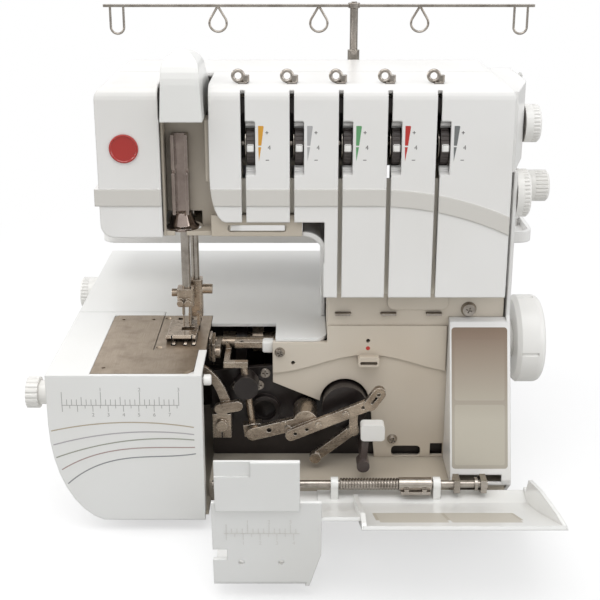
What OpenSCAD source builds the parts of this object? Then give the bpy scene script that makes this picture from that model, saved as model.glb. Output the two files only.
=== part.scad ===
// Serger overlock machine: five-thread domestic overlocker with its looper cover open.
// X runs to the right, Y to the rear, Z up. Inside the modules Y is measured from the front
// face of the left cover, and at_part() moves everything so that the origin lies on the table
// under the middle of the machine, measured with its front cover open.

/* [Base] */
// Height of the bed above the table
bed_z = 115; // [110:1:120]
// Depth of the base, front face to rear face
base_d = 260; // [254:1:270]
// Left end of the base, measured left from the middle
base_left = 164; // [160:1:168]
// Right end of the base
base_right = 144; // [142:1:146]
// Wall of the plastic covers
wall = 2.5; // [2:0.1:2.8]
// Height of the rubber feet
foot_h = 8; // [6:0.5:10]
// Diameter of the rubber feet
foot_d = 22; // [16:1:26]
// Depth of the left cover that swings open
door_d = 112.5; // [111:0.5:114]
// Gap between neighbouring covers
seam = 0.4; // [0.3:0.05:0.5]

/* [Head] */
// Front face of the head
head_front = 45; // [44:0.5:46]
// Rear face of the head
head_back = 165; // [162:1:168]
// Top of the head
head_top = 296; // [292:1:300]
// Underside of the arm
arm_z = 194.5; // [192:0.5:197]
// Left end of the arm, measured left from the middle
arm_left = 131; // [128:1:134]
// Right end of the head
head_right = 140; // [138:1:141]
// Left wall of the column
column_x = 17; // [16:0.5:18]
// Lower edge of the face over the column
face_z = 152; // [150:0.5:154]
// Lower edge of the face over the arm
strip_z = 205; // [203:0.5:207]
// Radius of the inner corner between arm and column
arch_r = 15; // [10:1:18]
// Corner radius of the head
head_r = 9; // [6:0.5:11]

/* [Tension units] */
// Number of thread slots
slots = 5; // [5:1:5]
// Place of the first slot, measured left from the middle
slot_left = 35.7; // [35:0.1:37]
// Distance between thread slots
slot_pitch = 31.7; // [31.2:0.1:32.2]
// Width of a thread slot
slot_w = 2.9; // [2.4:0.1:3.4]
// Radius of a tension thumb wheel
dial_r = 16; // [15:0.5:17]
// Width of a tension thumb wheel
dial_w = 5.2; // [4.6:0.1:5.6]
// Height of the tension wheel axes
dial_z = 255; // [252:0.5:257]
// Diameter of the tension studs
stud_d = 4; // [3.6:0.1:4.4]

/* [Needle and presser] */
// Needle bar, measured left from the middle
needle_left = 78.5; // [78:0.25:79]
// Needle bar, measured from the front
needle_y = 74; // [73.5:0.25:74.5]
// Needle bar diameter
needle_bar_d = 6.4; // [6:0.1:7]
// Presser bar, measured left from the middle
presser_left = 73.5; // [73:0.25:74]
// Presser bar, measured from the front
presser_y = 87; // [86.5:0.25:88]
// Presser bar diameter
presser_bar_d = 6; // [5.5:0.1:6.4]
// Height of the needle points over the bed
needle_lift = 1.5; // [1:0.25:3]

/* [Drive] */
// Height of the main shaft
shaft_z = 95.5; // [94:0.5:97]
// Main shaft, measured from the front
shaft_y = 110; // [109:0.5:112]
// Main shaft diameter
shaft_d = 10; // [9:0.5:11]
// Handwheel diameter
handwheel_d = 65; // [60:1:68]
// Handwheel width
handwheel_w = 21; // [18:0.5:22]
// Pitch diameter of the large belt pulley
pulley_d = 54; // [50:1:56]
// Pitch diameter of the motor pulley
motor_pulley_d = 18; // [16:1:20]
// Motor shaft, measured from the front
motor_y = 205; // [203:1:208]
// Motor shaft height
motor_z = 52; // [50:1:54]
// Motor body diameter
motor_d = 62; // [56:1:64]

/* [Thread stand] */
// Height of the spool tray
tray_z = 150; // [149:1:153]
// Spool pins, measured from the front
pin_y = 215; // [213:1:218]
// Distance between spool pins
pin_pitch = 76.8; // [76:0.2:77.2]
// Height of the spool pin tips
pin_top = 279; // [274:1:284]
// Antenna, measured right from the middle
antenna_x = 42; // [41:0.5:44]
// Antenna, measured from the front
antenna_y = 180; // [179:0.5:182]
// Height of the thread guide bar
guide_z = 333; // [330:1:338]

/* [Front cover] */
// Height of the cover hinge rod
hinge_z = 31.5; // [31:0.25:32]
// Hinge rod, measured from the front
hinge_y = 8; // [7.5:0.25:8.5]
// Hinge rod diameter
hinge_d = 5; // [4.5:0.25:5.5]
// Opening angle of the cover
cover_open = 97; // [90:1:98]
// Sideways travel of the cover before it tilts
cover_slide_x = 10; // [9:0.5:11]

/* [Fits] */
// Radial clearance of turning and sliding shafts
running = 0.05; // [0.03:0.01:0.08]
// Clearance between moving pieces and what they pass
clear = 0.5; // [0.4:0.05:0.6]

/* [Hidden] */
$fn = 48;

white = "#eceded";
cool_grey = "#cfcfcc";
beige = "#cfc6ba";
dark = "#2b2726";
charcoal = "#45403e";
steel = "#a89c90";
chrome = "#d4d2cf";
rubber = "#1e1e1e";
red = "#b3261e";

needle_x = -needle_left;
presser_x = -presser_left;
slot_x = [for (i = [0:slots - 1]) -slot_left + i * slot_pitch];
pin_x = [for (i = [0:4]) -130.8 + i * pin_pitch];
guide_pitch = 76.2;
bed_under = bed_z - wall;
plate_t = 2.3;
tray_top = foot_h + 3;
floor_z = foot_h + 14;
lip_y = 26;
panel_y = 62;
side_x = base_right + seam;
curve_rx = 40;
curve_rz = 72;
dial_y = head_front + 1.5 + dial_r;
origin_y = 77.5;

// ---------------------------------------------------------------- placing and shape helpers

module at_part() translate([0, -origin_y, 0]) children();

module box(x, y, z) translate([x[0], y[0], z[0]]) cube([x[1] - x[0], y[1] - y[0], z[1] - z[0]]);

module xcyl(d, x, y, z) translate([x[0], y, z]) rotate([0, 90, 0]) cylinder(d = d, h = x[1] - x[0]);

module ycyl(d, x, y, z) translate([x, y[1], z]) rotate([90, 0, 0]) cylinder(d = d, h = y[1] - y[0]);

module zcyl(d, x, y, z) translate([x, y, z[0]]) cylinder(d = d, h = z[1] - z[0]);

// An outline drawn in X and Z, extruded from y[0] to y[1].
module along_y(y) translate([0, y[1], 0]) rotate([90, 0, 0]) linear_extrude(y[1] - y[0]) children();

// An outline drawn in Y and Z, extruded from x[0] to x[1].
module along_x(x) translate([x[0], 0, 0]) rotate([90, 0, 90]) linear_extrude(x[1] - x[0]) children();

module along_z(z) translate([0, 0, z[0]]) linear_extrude(z[1] - z[0]) children();

// A rectangle with round corners, from its corners a and b.
module round_rect(a, b, r) {
    translate([a[0] + r, a[1]]) square([b[0] - a[0] - 2 * r, b[1] - a[1]]);
    translate([a[0], a[1] + r]) square([b[0] - a[0], b[1] - a[1] - 2 * r]);
    for (x = [a[0] + r, b[0] - r], y = [a[1] + r, b[1] - r]) translate([x, y]) circle(r);
}

// A flat bar with round ends from a to b.
module bar(a, b, w) {
    d = b - a;
    translate(a) rotate(atan2(d[1], d[0])) translate([0, 0.01 - w / 2]) square([norm(d), w - 0.02]);
    for (p = [a, b]) translate(p) circle(d = w);
}

function bezier(a, b, c, t) = (1 - t) * (1 - t) * a + 2 * t * (1 - t) * b + t * t * c;

// A curved strip of width w that narrows to tip along a quadratic curve.
module ribbon(a, b, c, w, tip, n = 10) {
    p = [for (i = [0:n]) bezier(a, b, c, i / n)];
    t = [for (i = [0:n]) let (v = (i < n ? p[i + 1] : p[i]) - (i > 0 ? p[i - 1] : p[i])) v / norm(v)];
    h = [for (i = [0:n]) (w + (tip - w) * i / n) / 2];
    polygon(concat([for (i = [0:n]) p[i] + h[i] * [-t[i][1], t[i][0]]],
        [for (i = [n:-1:0]) p[i] - h[i] * [-t[i][1], t[i][0]]]));
}

// ---------------------------------------------------------------- base

// Cross-section of the base in X and Z: straight above, rounded to the left below.
function base_curve(i) = [for (t = [0:10:90])
    [-base_left + i + curve_rx * (1 - cos(t)), foot_h + curve_rz * (1 - sin(t)) + (t == 90 ? 0 : 0)]];

module base_section(i) polygon(concat([[base_right - i, bed_z - i], [-base_left + i, bed_z - i]],
    base_curve(i), [[base_right - i, foot_h]]));

module base_tray() color(beige) at_part() difference() {
    union() {
        box([-62, base_right - 0.5], [lip_y, base_d - 4], [foot_h, tray_top]);
        box([-base_left + curve_rx + 3, -61], [8, base_d - 4], [foot_h, tray_top]);
        // step that carries the looper casting and the inner panel
        box([-62, base_right - 0.5], [lip_y, lip_y + 3], [foot_h, floor_z]);
        box([-62, base_right - 0.5], [lip_y, panel_y + 12], [floor_z - 3, floor_z]);
        for (x = [-30, 20, 70, 120]) box([x, x + 3], [lip_y, panel_y + 12], [foot_h, floor_z - 1]);
        for (p = foot_places) zcyl(foot_d - 8, p[0], p[1], [foot_h, foot_h + 7]);
    }
    for (p = foot_places) zcyl(4 + 2 * running, p[0], p[1], [foot_h - 1, foot_h + 6]);
    for (x = [70:8:118]) box([x, x + 3.5], [base_d - 60, base_d - 20], [foot_h - 1, tray_top + 1]);
}

foot_places = [[-105, 26], [-105, base_d - 24], [20, lip_y + 16], [base_right - 20, lip_y + 16],
    [base_right - 20, base_d - 24], [20, base_d - 24]];

module rubber_feet() color(rubber) at_part() for (p = foot_places) {
    translate([p[0], p[1], 0]) rotate_extrude() polygon([[0, 0], [foot_d / 2 - 2, 0], [foot_d / 2 - 1, 1],
        [foot_d / 2, foot_h], [0, foot_h]]);
    zcyl(4, p[0], p[1], [foot_h, foot_h + 5]);
}

plate_l = -99;
plate_r = -63;
plate_f = 42;
plate_b = 105;
cut_r = -16;
cut_b = 90;

module bed_cover() color(white) at_part() difference() {
    union() {
        difference() {
            along_y([door_d + seam, base_d]) base_section(0);
            along_y([door_d, base_d - wall]) base_section(wall);
        }
        box([plate_l + seam, plate_r + seam], [plate_b + seam, door_d + 2], [bed_under, bed_z]);
        box([plate_r, cut_r + 1], [cut_b, door_d + 2], [bed_under, bed_z]);
        difference() {
            along_z([bed_under, bed_z]) difference() {
                translate([cut_r, panel_y]) square([20 - cut_r, door_d + 2 - panel_y]);
                translate([20 - 9, panel_y - 1]) square([10, 10]);
            }
        }
        along_z([bed_under, bed_z]) translate([11, panel_y + 9]) circle(9);
    }
    // bottom and right side stay open for the tray and the side cover
    box([-base_left - 1, base_right + 1], [0, base_d + 1], [0, tray_top + 0.2]);
    box([base_right - wall - 0.1, base_right + 1], [0, base_d - wall], [0, bed_under]);
    // the column stands on the right of the bed
    box([column_x + 3.3, base_right + 1], [panel_y, head_back], [bed_under - 1, bed_z + 1]);
    // power inlet and switch in the rear wall
    box(inlet_x, [base_d - wall - 1, base_d + 1], [30, 52]);
    xcyl(8, [-base_left - 1, -base_left + wall + 1], 192, 101);
    for (i = [0:5]) box([-70 + i * 7, -66 + i * 7], [base_d - wall - 1, base_d + 1], [40, 70]);
}

inlet_x = [60, 88];

// ---------------------------------------------------------------- inner panel

disc_c = [33, 66.5];

module panel_outline() difference() {
    polygon([[-18, bed_under], [-18, 81.5], [17.5, 66], [52, 60], [55, floor_z],
        [base_right - 1, floor_z], [base_right - 1, face_z - seam], [head_right - wall - 0.5, face_z - seam],
        [head_right - wall - 0.5, face_z + 13], [column_x + wall + 0.8, face_z + 13],
        [column_x + wall + 0.8, bed_under]]);
    translate(disc_c) circle(17.5);
}

// Lower edge of the raised field dips towards both sides of the white guide.
function field_edge(x) = 96 + 7 * cos((x - 49) * 2.6);

module inner_panel() color(beige) at_part() difference() {
    union() {
        along_y([panel_y, panel_y + wall]) panel_outline();
        along_y([panel_y - 1.5, panel_y]) intersection() {
            panel_outline();
            polygon(concat([[-18, 125], [-18, field_edge(-18)]], [for (x = [-10:10:95]) [x, field_edge(x)]],
                [[label_l - 1, field_edge(label_l - 1)], [label_l - 1, 125]]));
        }
        // stiffening returns that seat the panel on the column walls
        box([column_x + wall + 0.8, column_x + 2 * wall + 0.8], [panel_y, 100], [bed_z + 0.5, face_z - seam]);
        // white looper thread guide, moulded on
        along_y([panel_y - 7, panel_y]) round_rect([42, 96], [57, 103.5], 2);
        // raised boss beside the upper screw
        along_y([panel_y - 1.5, panel_y]) round_rect([62, 137], [label_l - 1, 149], 5);
    }
    for (i = [2:4]) along_y([panel_y - 2, panel_y + wall + 1])
        translate([slot_x[i] + 3.5, 134.2]) square([11, 1.6], center = true);
    along_y([panel_y - 8, panel_y - 2]) round_rect([43.5, 97.5], [55.5, 100], 1);
    // D-shaped hole and square hole at the foot of the panel
    along_y([panel_y - 2, panel_y + wall + 1]) {
        round_rect([67.4, 22.6], [88.5, 31], 3);
        translate([95.5, 23.5]) square([9, 9.5]);
        translate([-3.7, 97]) circle(1.4);
        translate([49, 113.8]) circle(1.4);
        for (p = screw_places) translate(p) circle(d = 3 + 2 * running);
    }
}

screw_places = [[118.7, 137], [67.9, 36.5], [-13, 105]];

module panel_screws() color(chrome) at_part() for (i = [0:2]) difference() {
    union() {
        along_y_screw(screw_places[i], i == 0 ? 11 : 7.5, panel_y - (i == 2 ? 1.5 : 0));
    }
    translate([screw_places[i][0], panel_y - (i == 2 ? 4.6 : 3.1), screw_places[i][1]]) for (a = [0, 90]) rotate([0, a + 20, 0])
        cube([4.4, 3, 0.9], center = true);
}

module along_y_screw(p, d, y) {
    translate([p[0], y, p[1]]) rotate([90, 0, 0]) cylinder(d1 = d, d2 = d - 2.4, h = 2.6);
    ycyl(3, p[0], [y, panel_y + wall + 2], p[1]);
}

// ---------------------------------------------------------------- right side cover

label_l = 105;
label_top = 130;
side_split = 236;

module label_profile() polygon([[56, label_top], [panel_y - 0.2, label_top + 1.5], [panel_y - 0.2, floor_z + 0.2],
    [22, floor_z + 0.2], [22, 26]]);

module label_profile_in() polygon([[56 + wall, label_top - 1], [panel_y + 1, label_top - 1], [panel_y + 1, floor_z - 1],
    [22 + wall, floor_z - 1], [22 + wall, 27]]);

module right_side_cover() color(white) at_part() difference() {
    union() {
        // lower side wall
        along_x([side_x, side_x + wall]) polygon([[22, floor_z + 0.2], [22, 26], [56, label_top], [59, label_top + 4], [59, side_split],
            [head_back, side_split], [head_back, bed_z + 0.5], [base_d - 1, bed_z + 0.5], [base_d - 1, 34],
            [base_d - 18, tray_top + 0.2], [34, tray_top + 0.2]]);
        // label panel that wraps the right front corner
        difference() {
            along_x([label_l, side_x + wall]) label_profile();
            along_x([label_l + wall, side_x + 0.1]) label_profile_in();
        }
        // upper housing that carries the stitch length dial
        along_z([side_split + 2, head_top - 6]) difference() {
            upper_side_outline();
            upper_side_inside();
        }
        along_z([head_top - 6 - wall, head_top - 6]) upper_side_outline();
        along_z([side_split, side_split + 2]) upper_side_outline();
    }
    box([side_x - 1, side_x + wall + 1], [lip_y - 10, base_d], [0, tray_top + 0.2]);
    // round the lower front corner of the label panel and open the slit beneath the label
    box([label_l + 3, side_x - 4], [20, 24 + wall], [24, 29.5]);
    // way through for the handwheel hub and the dial shafts
    xcyl(30, [side_x - 2, side_x + wall + 2], shaft_y, shaft_z);
    xcyl(8, [side_x - 2, side_x + wall + 2], 60 + 14, 217.8);
    xcyl(8, [side_x - 2, side_x + wall + 2], 120, 211);
    xcyl(8, [side_x + 2, 162], 110, 259);
    for (i = [0:6]) box([side_x - 1, side_x + wall + 1], [190 + i * 7, 193.5 + i * 7], [40, 80]);
}

module upper_side_outline() polygon([[head_right + seam, 58], [head_right + 4, 58], [head_right + 17, 100],
    [head_right + 18, 108], [head_right + 18, head_back], [head_right + seam, head_back]]);

module upper_side_inside() polygon([[head_right + seam + wall, 70], [head_right + 5, 70], [head_right + 14.4, 100.5],
    [head_right + 18 - wall, 108.5], [head_right + 18 - wall, head_back - wall], [head_right + seam + wall, head_back - wall]]);

// ---------------------------------------------------------------- head shells

// Outline of head and column in X and Z, drawn i inside the outer surface.
module head_outline(i) {
    round_rect([-arm_left + i, arm_z + i], [head_right - i, head_top - i], max(head_r - i, 1));
    translate([column_x + i, face_z - 40 + i]) square([head_right - column_x - 2 * i, arm_z - face_z + 60]);
    difference() {
        translate([column_x + i - arch_r, arm_z + i - arch_r]) square(arch_r + 2);
        translate([column_x + i - arch_r, arm_z + i - arch_r]) circle(arch_r);
    }
}

module head_side(i) polygon(concat([[head_back + 60, 60], [head_back + 60, head_top - i]],
    [for (t = [0:15:90]) [head_front + i + (head_r - i) * (1 - sin(t)), head_top - head_r + (head_r - i) * cos(t)]],
    [[head_front + i, 60]]));

face_d = 60;

module head_shell(y0, y1) difference() {
    intersection() {
        along_y([y0, y1]) head_outline(0);
        along_x([-arm_left - 1, head_right + 1]) head_side(0);
    }
    intersection() {
        along_y([y0 - 1, y1 + 1]) head_outline(wall);
        along_x([-arm_left - 1, head_right + 1]) head_side(wall);
    }
}

band_z = 216.2;
band_h = 11.5;
band_r = 222;
band_x = 50;

module band() intersection() {
    union() {
        translate([-arm_left - 3, band_z]) square([band_x + arm_left + 3, band_h]);
        difference() {
            translate([band_x, band_z + band_h - band_r]) circle(band_r, $fn = 96);
            translate([band_x, band_z + band_h - band_r]) circle(band_r - band_h, $fn = 96);
            translate([band_x - 400, -300]) square([400, 800]);
        }
    }
    translate([-arm_left - 3, 150]) square([head_right + arm_left + 3, 120]);
}

channel_l = -90;
channel_r = -58;

module channel_opening() {
    translate([channel_l, arm_z - 5]) square([channel_r - channel_l, 285 - arm_z]);
    polygon(concat([[channel_r - 1, arm_z - 5]], [[channel_r + 10, arm_z - 5], [channel_r + 10, strip_z]],
        [for (t = [0:15:90]) [channel_r + 10 - 10 * sin(t), strip_z + 30 - 30 * cos(t)]], [[channel_r - 1, strip_z + 31]]));
}

module face_cover() color(white) at_part() difference() {
    union() {
        head_shell(head_front, head_front + face_d);
        along_y([head_front - 0.6, head_front + 1]) band();
        // rounded left end of the band
        box([-arm_left - 3, -arm_left + 1], [head_front - 0.6, head_front + face_d], [band_z, band_z + band_h]);
    }
    // column end and recessed strip under the arm stay open
    box([-200, 200], [0, 200], [0, face_z]);
    box([channel_l, column_x - arch_r + 1], [head_front - 2, head_front + face_d + 1], [arm_z - 3, strip_z]);
    box([column_x - arch_r, column_x + 0.5], [head_front - 2, head_front + 4.5], [arm_z - 18, strip_z]);
    along_y([head_front - 2, head_front + 4]) channel_opening();
    box([channel_l - 0.3, channel_r + 0.3], [head_front - 2, 100.4], [274, head_top + 2]);
    for (x = slot_x) {
        box([x - slot_w / 2, x + slot_w / 2], [head_front - 2, head_front + wall + 1],
            [face_z - 1, head_top - 3.5]);
        // window of the thumb wheel, right of the slot
        along_y([head_front - 2, head_front + wall + 1])
            round_rect([x, dial_z - 18], [x + slot_w / 2 + 6.4, dial_z + 18], 1.2);
        // seat of the thread guide on top
        box([x - 3, x + 3], [head_front + 8, head_front + 16], [head_top - wall - 1, head_top + 1]);
    }
    ycyl(3 + 2 * running, badge_x, [head_front - 2, head_front + wall + 1], badge_z);
}

badge_x = -113.2;
badge_z = 255;

module badge() color(red) at_part() {
    translate([badge_x, head_front, badge_z]) rotate([90, 0, 0]) rotate_extrude()
        polygon([[0, 0], [9.5, 0], [9.5, 0.9], [8.6, 1.3], [8.1, 0.8], [0, 0.8]]);
    ycyl(3, badge_x, [head_front, head_front + wall], badge_z);
}

module rear_cover() color(white) at_part() difference() {
    union() {
        head_shell(head_front + face_d + seam, head_back);
        along_y([head_back - wall, head_back]) intersection() {
            head_outline(0);
            translate([-arm_left, bed_z]) square([arm_left + head_right, 200]);
        }
    }
    box([-200, 200], [0, 300], [0, bed_z + 0.1]);
    // slot of the presser lifter
    box([presser_x - 4.5, presser_x + 4.5], [head_back - 20, head_back + 1], [arm_z - 1, 232]);
    for (i = [0:7]) box([50 + i * 8, 54 + i * 8], [head_back - wall - 1, head_back + 1], [200, 240]);
}

// Dome over the needle bar: rounded outline both from the front and from the side.
module hood_front(i) hull() {
    translate([channel_l + 2.5 + i, 275 - i * 2]) square([channel_r - channel_l - 5 - 2 * i, 1]);
    for (x = [channel_l + 16, channel_r - 16]) translate([x, 318.5 - 12]) circle(12 - i, $fn = 32);
}

module hood_side(i) hull() {
    translate([31 + i, 275 - i * 2]) square([60 - 2 * i, 1]);
    translate([31 + 20, 318.5 - 20]) circle(20 - i, $fn = 32);
    translate([97 - i - 8, head_top - 8]) circle(max(8 - i, 1), $fn = 32);
    translate([97 - i - 4, 276]) square([4, 4]);
}

module needle_bar_hood() color(white) at_part() difference() {
    intersection() {
        along_y([20, 110]) hood_front(0);
        along_x([channel_l - 5, channel_r + 5]) hood_side(0);
    }
    intersection() {
        along_y([20, 110]) hood_front(2);
        along_x([channel_l - 5, channel_r + 5]) hood_side(2);
    }
}

// ---------------------------------------------------------------- arm casting with the needle channel

module arm_frame() color(beige) at_part() difference() {
    union() {
        // recessed strip under the arm and the floor behind it
        box([channel_r + 0.2, column_x - arch_r + 0.7], [head_front + 3, head_front + 5.5], [arm_z, strip_z + 4]);
        box([channel_l + 0.3, column_x - arch_r + 0.7], [head_front + 5, head_front + face_d - 0.4], [arm_z, arm_z + 3]);
        // needle bar channel
        box([channel_l + 0.3, channel_l + 1.8], [head_front + 4.2, panel_y + 4], [arm_z, 273]);
        box([channel_r + 10 - 2.5, channel_r + 10], [head_front + 5, panel_y + 4], [arm_z, 232]);
        box([channel_r - 2.8, channel_r - 0.3], [head_front + 4.2, panel_y + 4], [232, 273]);
        box([channel_l + 0.3, channel_r + 10], [panel_y + 1.5, panel_y + 4], [arm_z, 232]);
        box([channel_l + 0.3, channel_r - 0.3], [panel_y + 1.5, panel_y + 4], [231, 273]);
        // bearing lugs of both bars, and the beam that carries them to the column
        for (z = [[arm_z + 14, arm_z + 21], [258, 272]]) along_z(z) {
            translate([needle_x, needle_y]) circle(d = 15);
            translate([presser_x, presser_y]) circle(d = 13);
            translate([-86, panel_y + 3]) square([20, beam_y + 3 - panel_y]);
        }
        box([-86, head_right - 10], [beam_y, beam_y + 6], [arm_z + 2.8, 280]);
        box([112, head_right - 10], [beam_y, beam_y + 24], [casting_top, 280]);
        // block that the dome snaps over
        box([channel_l + 2.5 + 2.6, channel_r - 2.5 - 2.6], [79, 93], [271, 280]);
        // ears of the lifter shaft
        for (x = [presser_x - 8.5, presser_x + 5.5]) along_x([x, x + 3]) polygon([[beam_y + 5, arm_z + 6],
            [beam_y + 5, arm_z + 19], [lifter_y - 6, lifter_z + 6], [lifter_y + 6, lifter_z + 6],
            [lifter_y + 6, lifter_z - 6], [beam_y + 12, arm_z + 6]]);
    }
    xcyl(4 + 2 * running, [presser_x - 10, presser_x + 10], lifter_y, lifter_z);
    zcyl(needle_bar_d + 2 * running, needle_x, needle_y, [arm_z - 1, 290]);
    zcyl(presser_bar_d + 2 * running, presser_x, presser_y, [arm_z - 1, 290]);
        // room for the collar round the needle bar's way out
    zcyl(27, needle_x, panel_y + 1, [arm_z - 1, arm_z + 13.5]);
    // lamp slot in the strip
    along_y([head_front + 2, head_front + 7]) round_rect([-47, 197.5], [-8, 202.5], 2);
    box([-50, -5], [head_front + 6, head_front + 40], [arm_z - 1, arm_z + 4]);
    // window for the presser lifter
    box([presser_x - 12, presser_x + 10], [beam_y - 1, beam_y + 7], [arm_z + 21, 244]);
    // the beam is open between its flanges
    for (x = [-50, -5, 40]) box([x, x + 36], [beam_y - 1, beam_y + 7], [arm_z + 14, 266]);
}

beam_y = 100;
lifter_y = 122;
lifter_z = 219;
casting_top = 126;

module needle_bar_guide() color(chrome) at_part() {
    // channel-shaped guide plate
    difference() {
        box([needle_x - 5.5, needle_x + 5.5], [54, panel_y + 1.5], [207.5, 262]);
        box([needle_x - 3.5, needle_x + 3.5], [53, panel_y - 1], [206, 263]);
        box([needle_x - 6, needle_x + 6], [53, 58], [236, 239]);
    }
    // flared collar round the bars' way out
    translate([needle_x, 63, 0]) difference() {
        rotate_extrude() polygon([[6.5, arm_z + 13], [4.5, arm_z + 13], [4.5, arm_z + 11.5], [9.3, arm_z + 3],
            [11.3, arm_z + 1.8], [11.3, arm_z + 3.3], [9.3, arm_z + 4.8]]);
        box([-20, 20], [needle_y - 7.8 - 63, 30], [arm_z - 5, arm_z + 20]);
    }
}

module work_lamp() color("#e8e4d8") at_part() difference() {
    box([-48, -7], [head_front + 8, head_front + 30], [arm_z + 0.5, arm_z + 10]);
    box([-46, -9], [head_front + 7, head_front + 27], [arm_z - 1, arm_z + 8]);
}

// ---------------------------------------------------------------- tension units

module tension_bracket() color(dark) at_part() difference() {
    union() {
        box([slot_x[0] - 8, slot_x[slots - 1] + 14], [dial_y + dial_r + 4, dial_y + dial_r + 6],
            [dial_z - 20, dial_z + 20]);
        for (x = slot_x) {
            // lug that carries the stud
            box([x - 6.5, x - 4.5], [dial_y - 6, dial_y + dial_r + 5], [dial_z - 9, dial_z + 9]);
            // dark channel behind the slot
            difference() {
                box([x - 4, x + 1.8], [head_front + wall, head_front + wall + 7],
                    [x < 20 ? strip_z + 4.5 : face_z, dial_z - 22]);
                box([x - 2, x + 3], [head_front + wall - 1, head_front + wall + 5],
                    [x < 20 ? strip_z - 1 : face_z - 1, dial_z - 21]);
            }
            difference() {
                box([x - 4, x + 1.8], [head_front + wall, head_front + wall + 7], [dial_z + 22, head_top - 9]);
                box([x - 2, x + 3], [head_front + wall - 1, head_front + wall + 5], [dial_z + 21, head_top - 8]);
            }
            // webs that join the channels to the back plate
            for (z = [dial_z - 22, dial_z + 20])
                box([x - 4, x - 2], [head_front + wall + 5, dial_y + dial_r + 5], [z - 2, z + 4]);
        }
        // foot that seats the bracket on the arm casting
        box([slot_x[0] - 8, slot_x[slots - 1] + 14], [dial_y + dial_r + 5, 100], [dial_z + 16, dial_z + 19]);
    }
    for (x = slot_x) xcyl(stud_d + 2 * running, [x - 8, x + 1], dial_y, dial_z);
}

module tension_discs() color(chrome) at_part() for (x = slot_x) {
    xcyl(stud_d, [x - 7.5, x + 9], dial_y, dial_z);
    translate([x - 2.6, dial_y, dial_z]) rotate([0, 90, 0]) rotate_extrude()
        polygon([[stud_d / 2, 0], [stud_d / 2 + 5, 0], [11, -1.4 + 0.7], [11, 0], [stud_d / 2 + 5.3, 0.9],
            [stud_d / 2, 0.9]]);
    translate([x + 0.2, dial_y, dial_z]) rotate([0, 90, 0]) rotate_extrude()
        polygon([[stud_d / 2, 0], [stud_d / 2 + 5, 0], [11, 0.7], [11, 1.4], [stud_d / 2 + 5.3, 0.9],
            [stud_d / 2, 0.9]]);
}

module tension_dial(i) color(charcoal) at_part() translate([slot_x[i] + slot_w / 2 + 0.6, dial_y, dial_z])
    difference() {
        union() {
            rotate([0, 90, 0]) cylinder(r = dial_r - 0.8, h = dial_w);
            rotate([0, 90, 0]) for (a = [0:10:350]) rotate(a) translate([dial_r - 0.9, 0, 0.4])
                cylinder(d = 1.4, h = dial_w - 0.8, $fn = 6);
            // pointer nub
            box([0.8, dial_w - 0.6], [-dial_r - 1.7, -dial_r + 2], [-2.2, 2.2]);
        }
        rotate([0, 90, 0]) translate([0, 0, -1]) cylinder(d = stud_d + 2 * running, h = dial_w + 2);
    }

module tension_dial_1() tension_dial(0);
module tension_dial_2() tension_dial(1);
module tension_dial_3() tension_dial(2);
module tension_dial_4() tension_dial(3);
module tension_dial_5() tension_dial(4);

// Chrome guides: one on the head above each slot, and a lip in each slit of the inner panel.
module thread_guides() color(chrome) at_part() {
    for (x = slot_x) translate([x, head_front + 12, head_top - wall]) {
        box([-2.8, 2.8], [-3.8, 3.8], [0, wall + 0.8]);
        translate([-3.2, 0, wall + 4.6]) rotate([90, 0, 0]) rotate_extrude() translate([3.4, 0]) circle(d = 2.4);
        translate([1.6, 1, wall + 0.5]) cylinder(d = 5, h = 4.5);
    }
    for (i = [2:4]) box([slot_x[i] - 1.8, slot_x[i] + 8.8], [panel_y - 4, panel_y + wall + 1], [133.6, 134.8]);
}

// ---------------------------------------------------------------- looper casting and plates

lower_pivot = [-53.6, 57.2];
upper_pivot = [5, 60];
rod_foot = [-32, 50.5];
rod_dir = [-0.127, 0.992];
rod_y = 52;
rod_d = 5;
pivot_d = 8;
knife_y = 84;
knife_z = 103;
casting_y = [67, 71];

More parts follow.
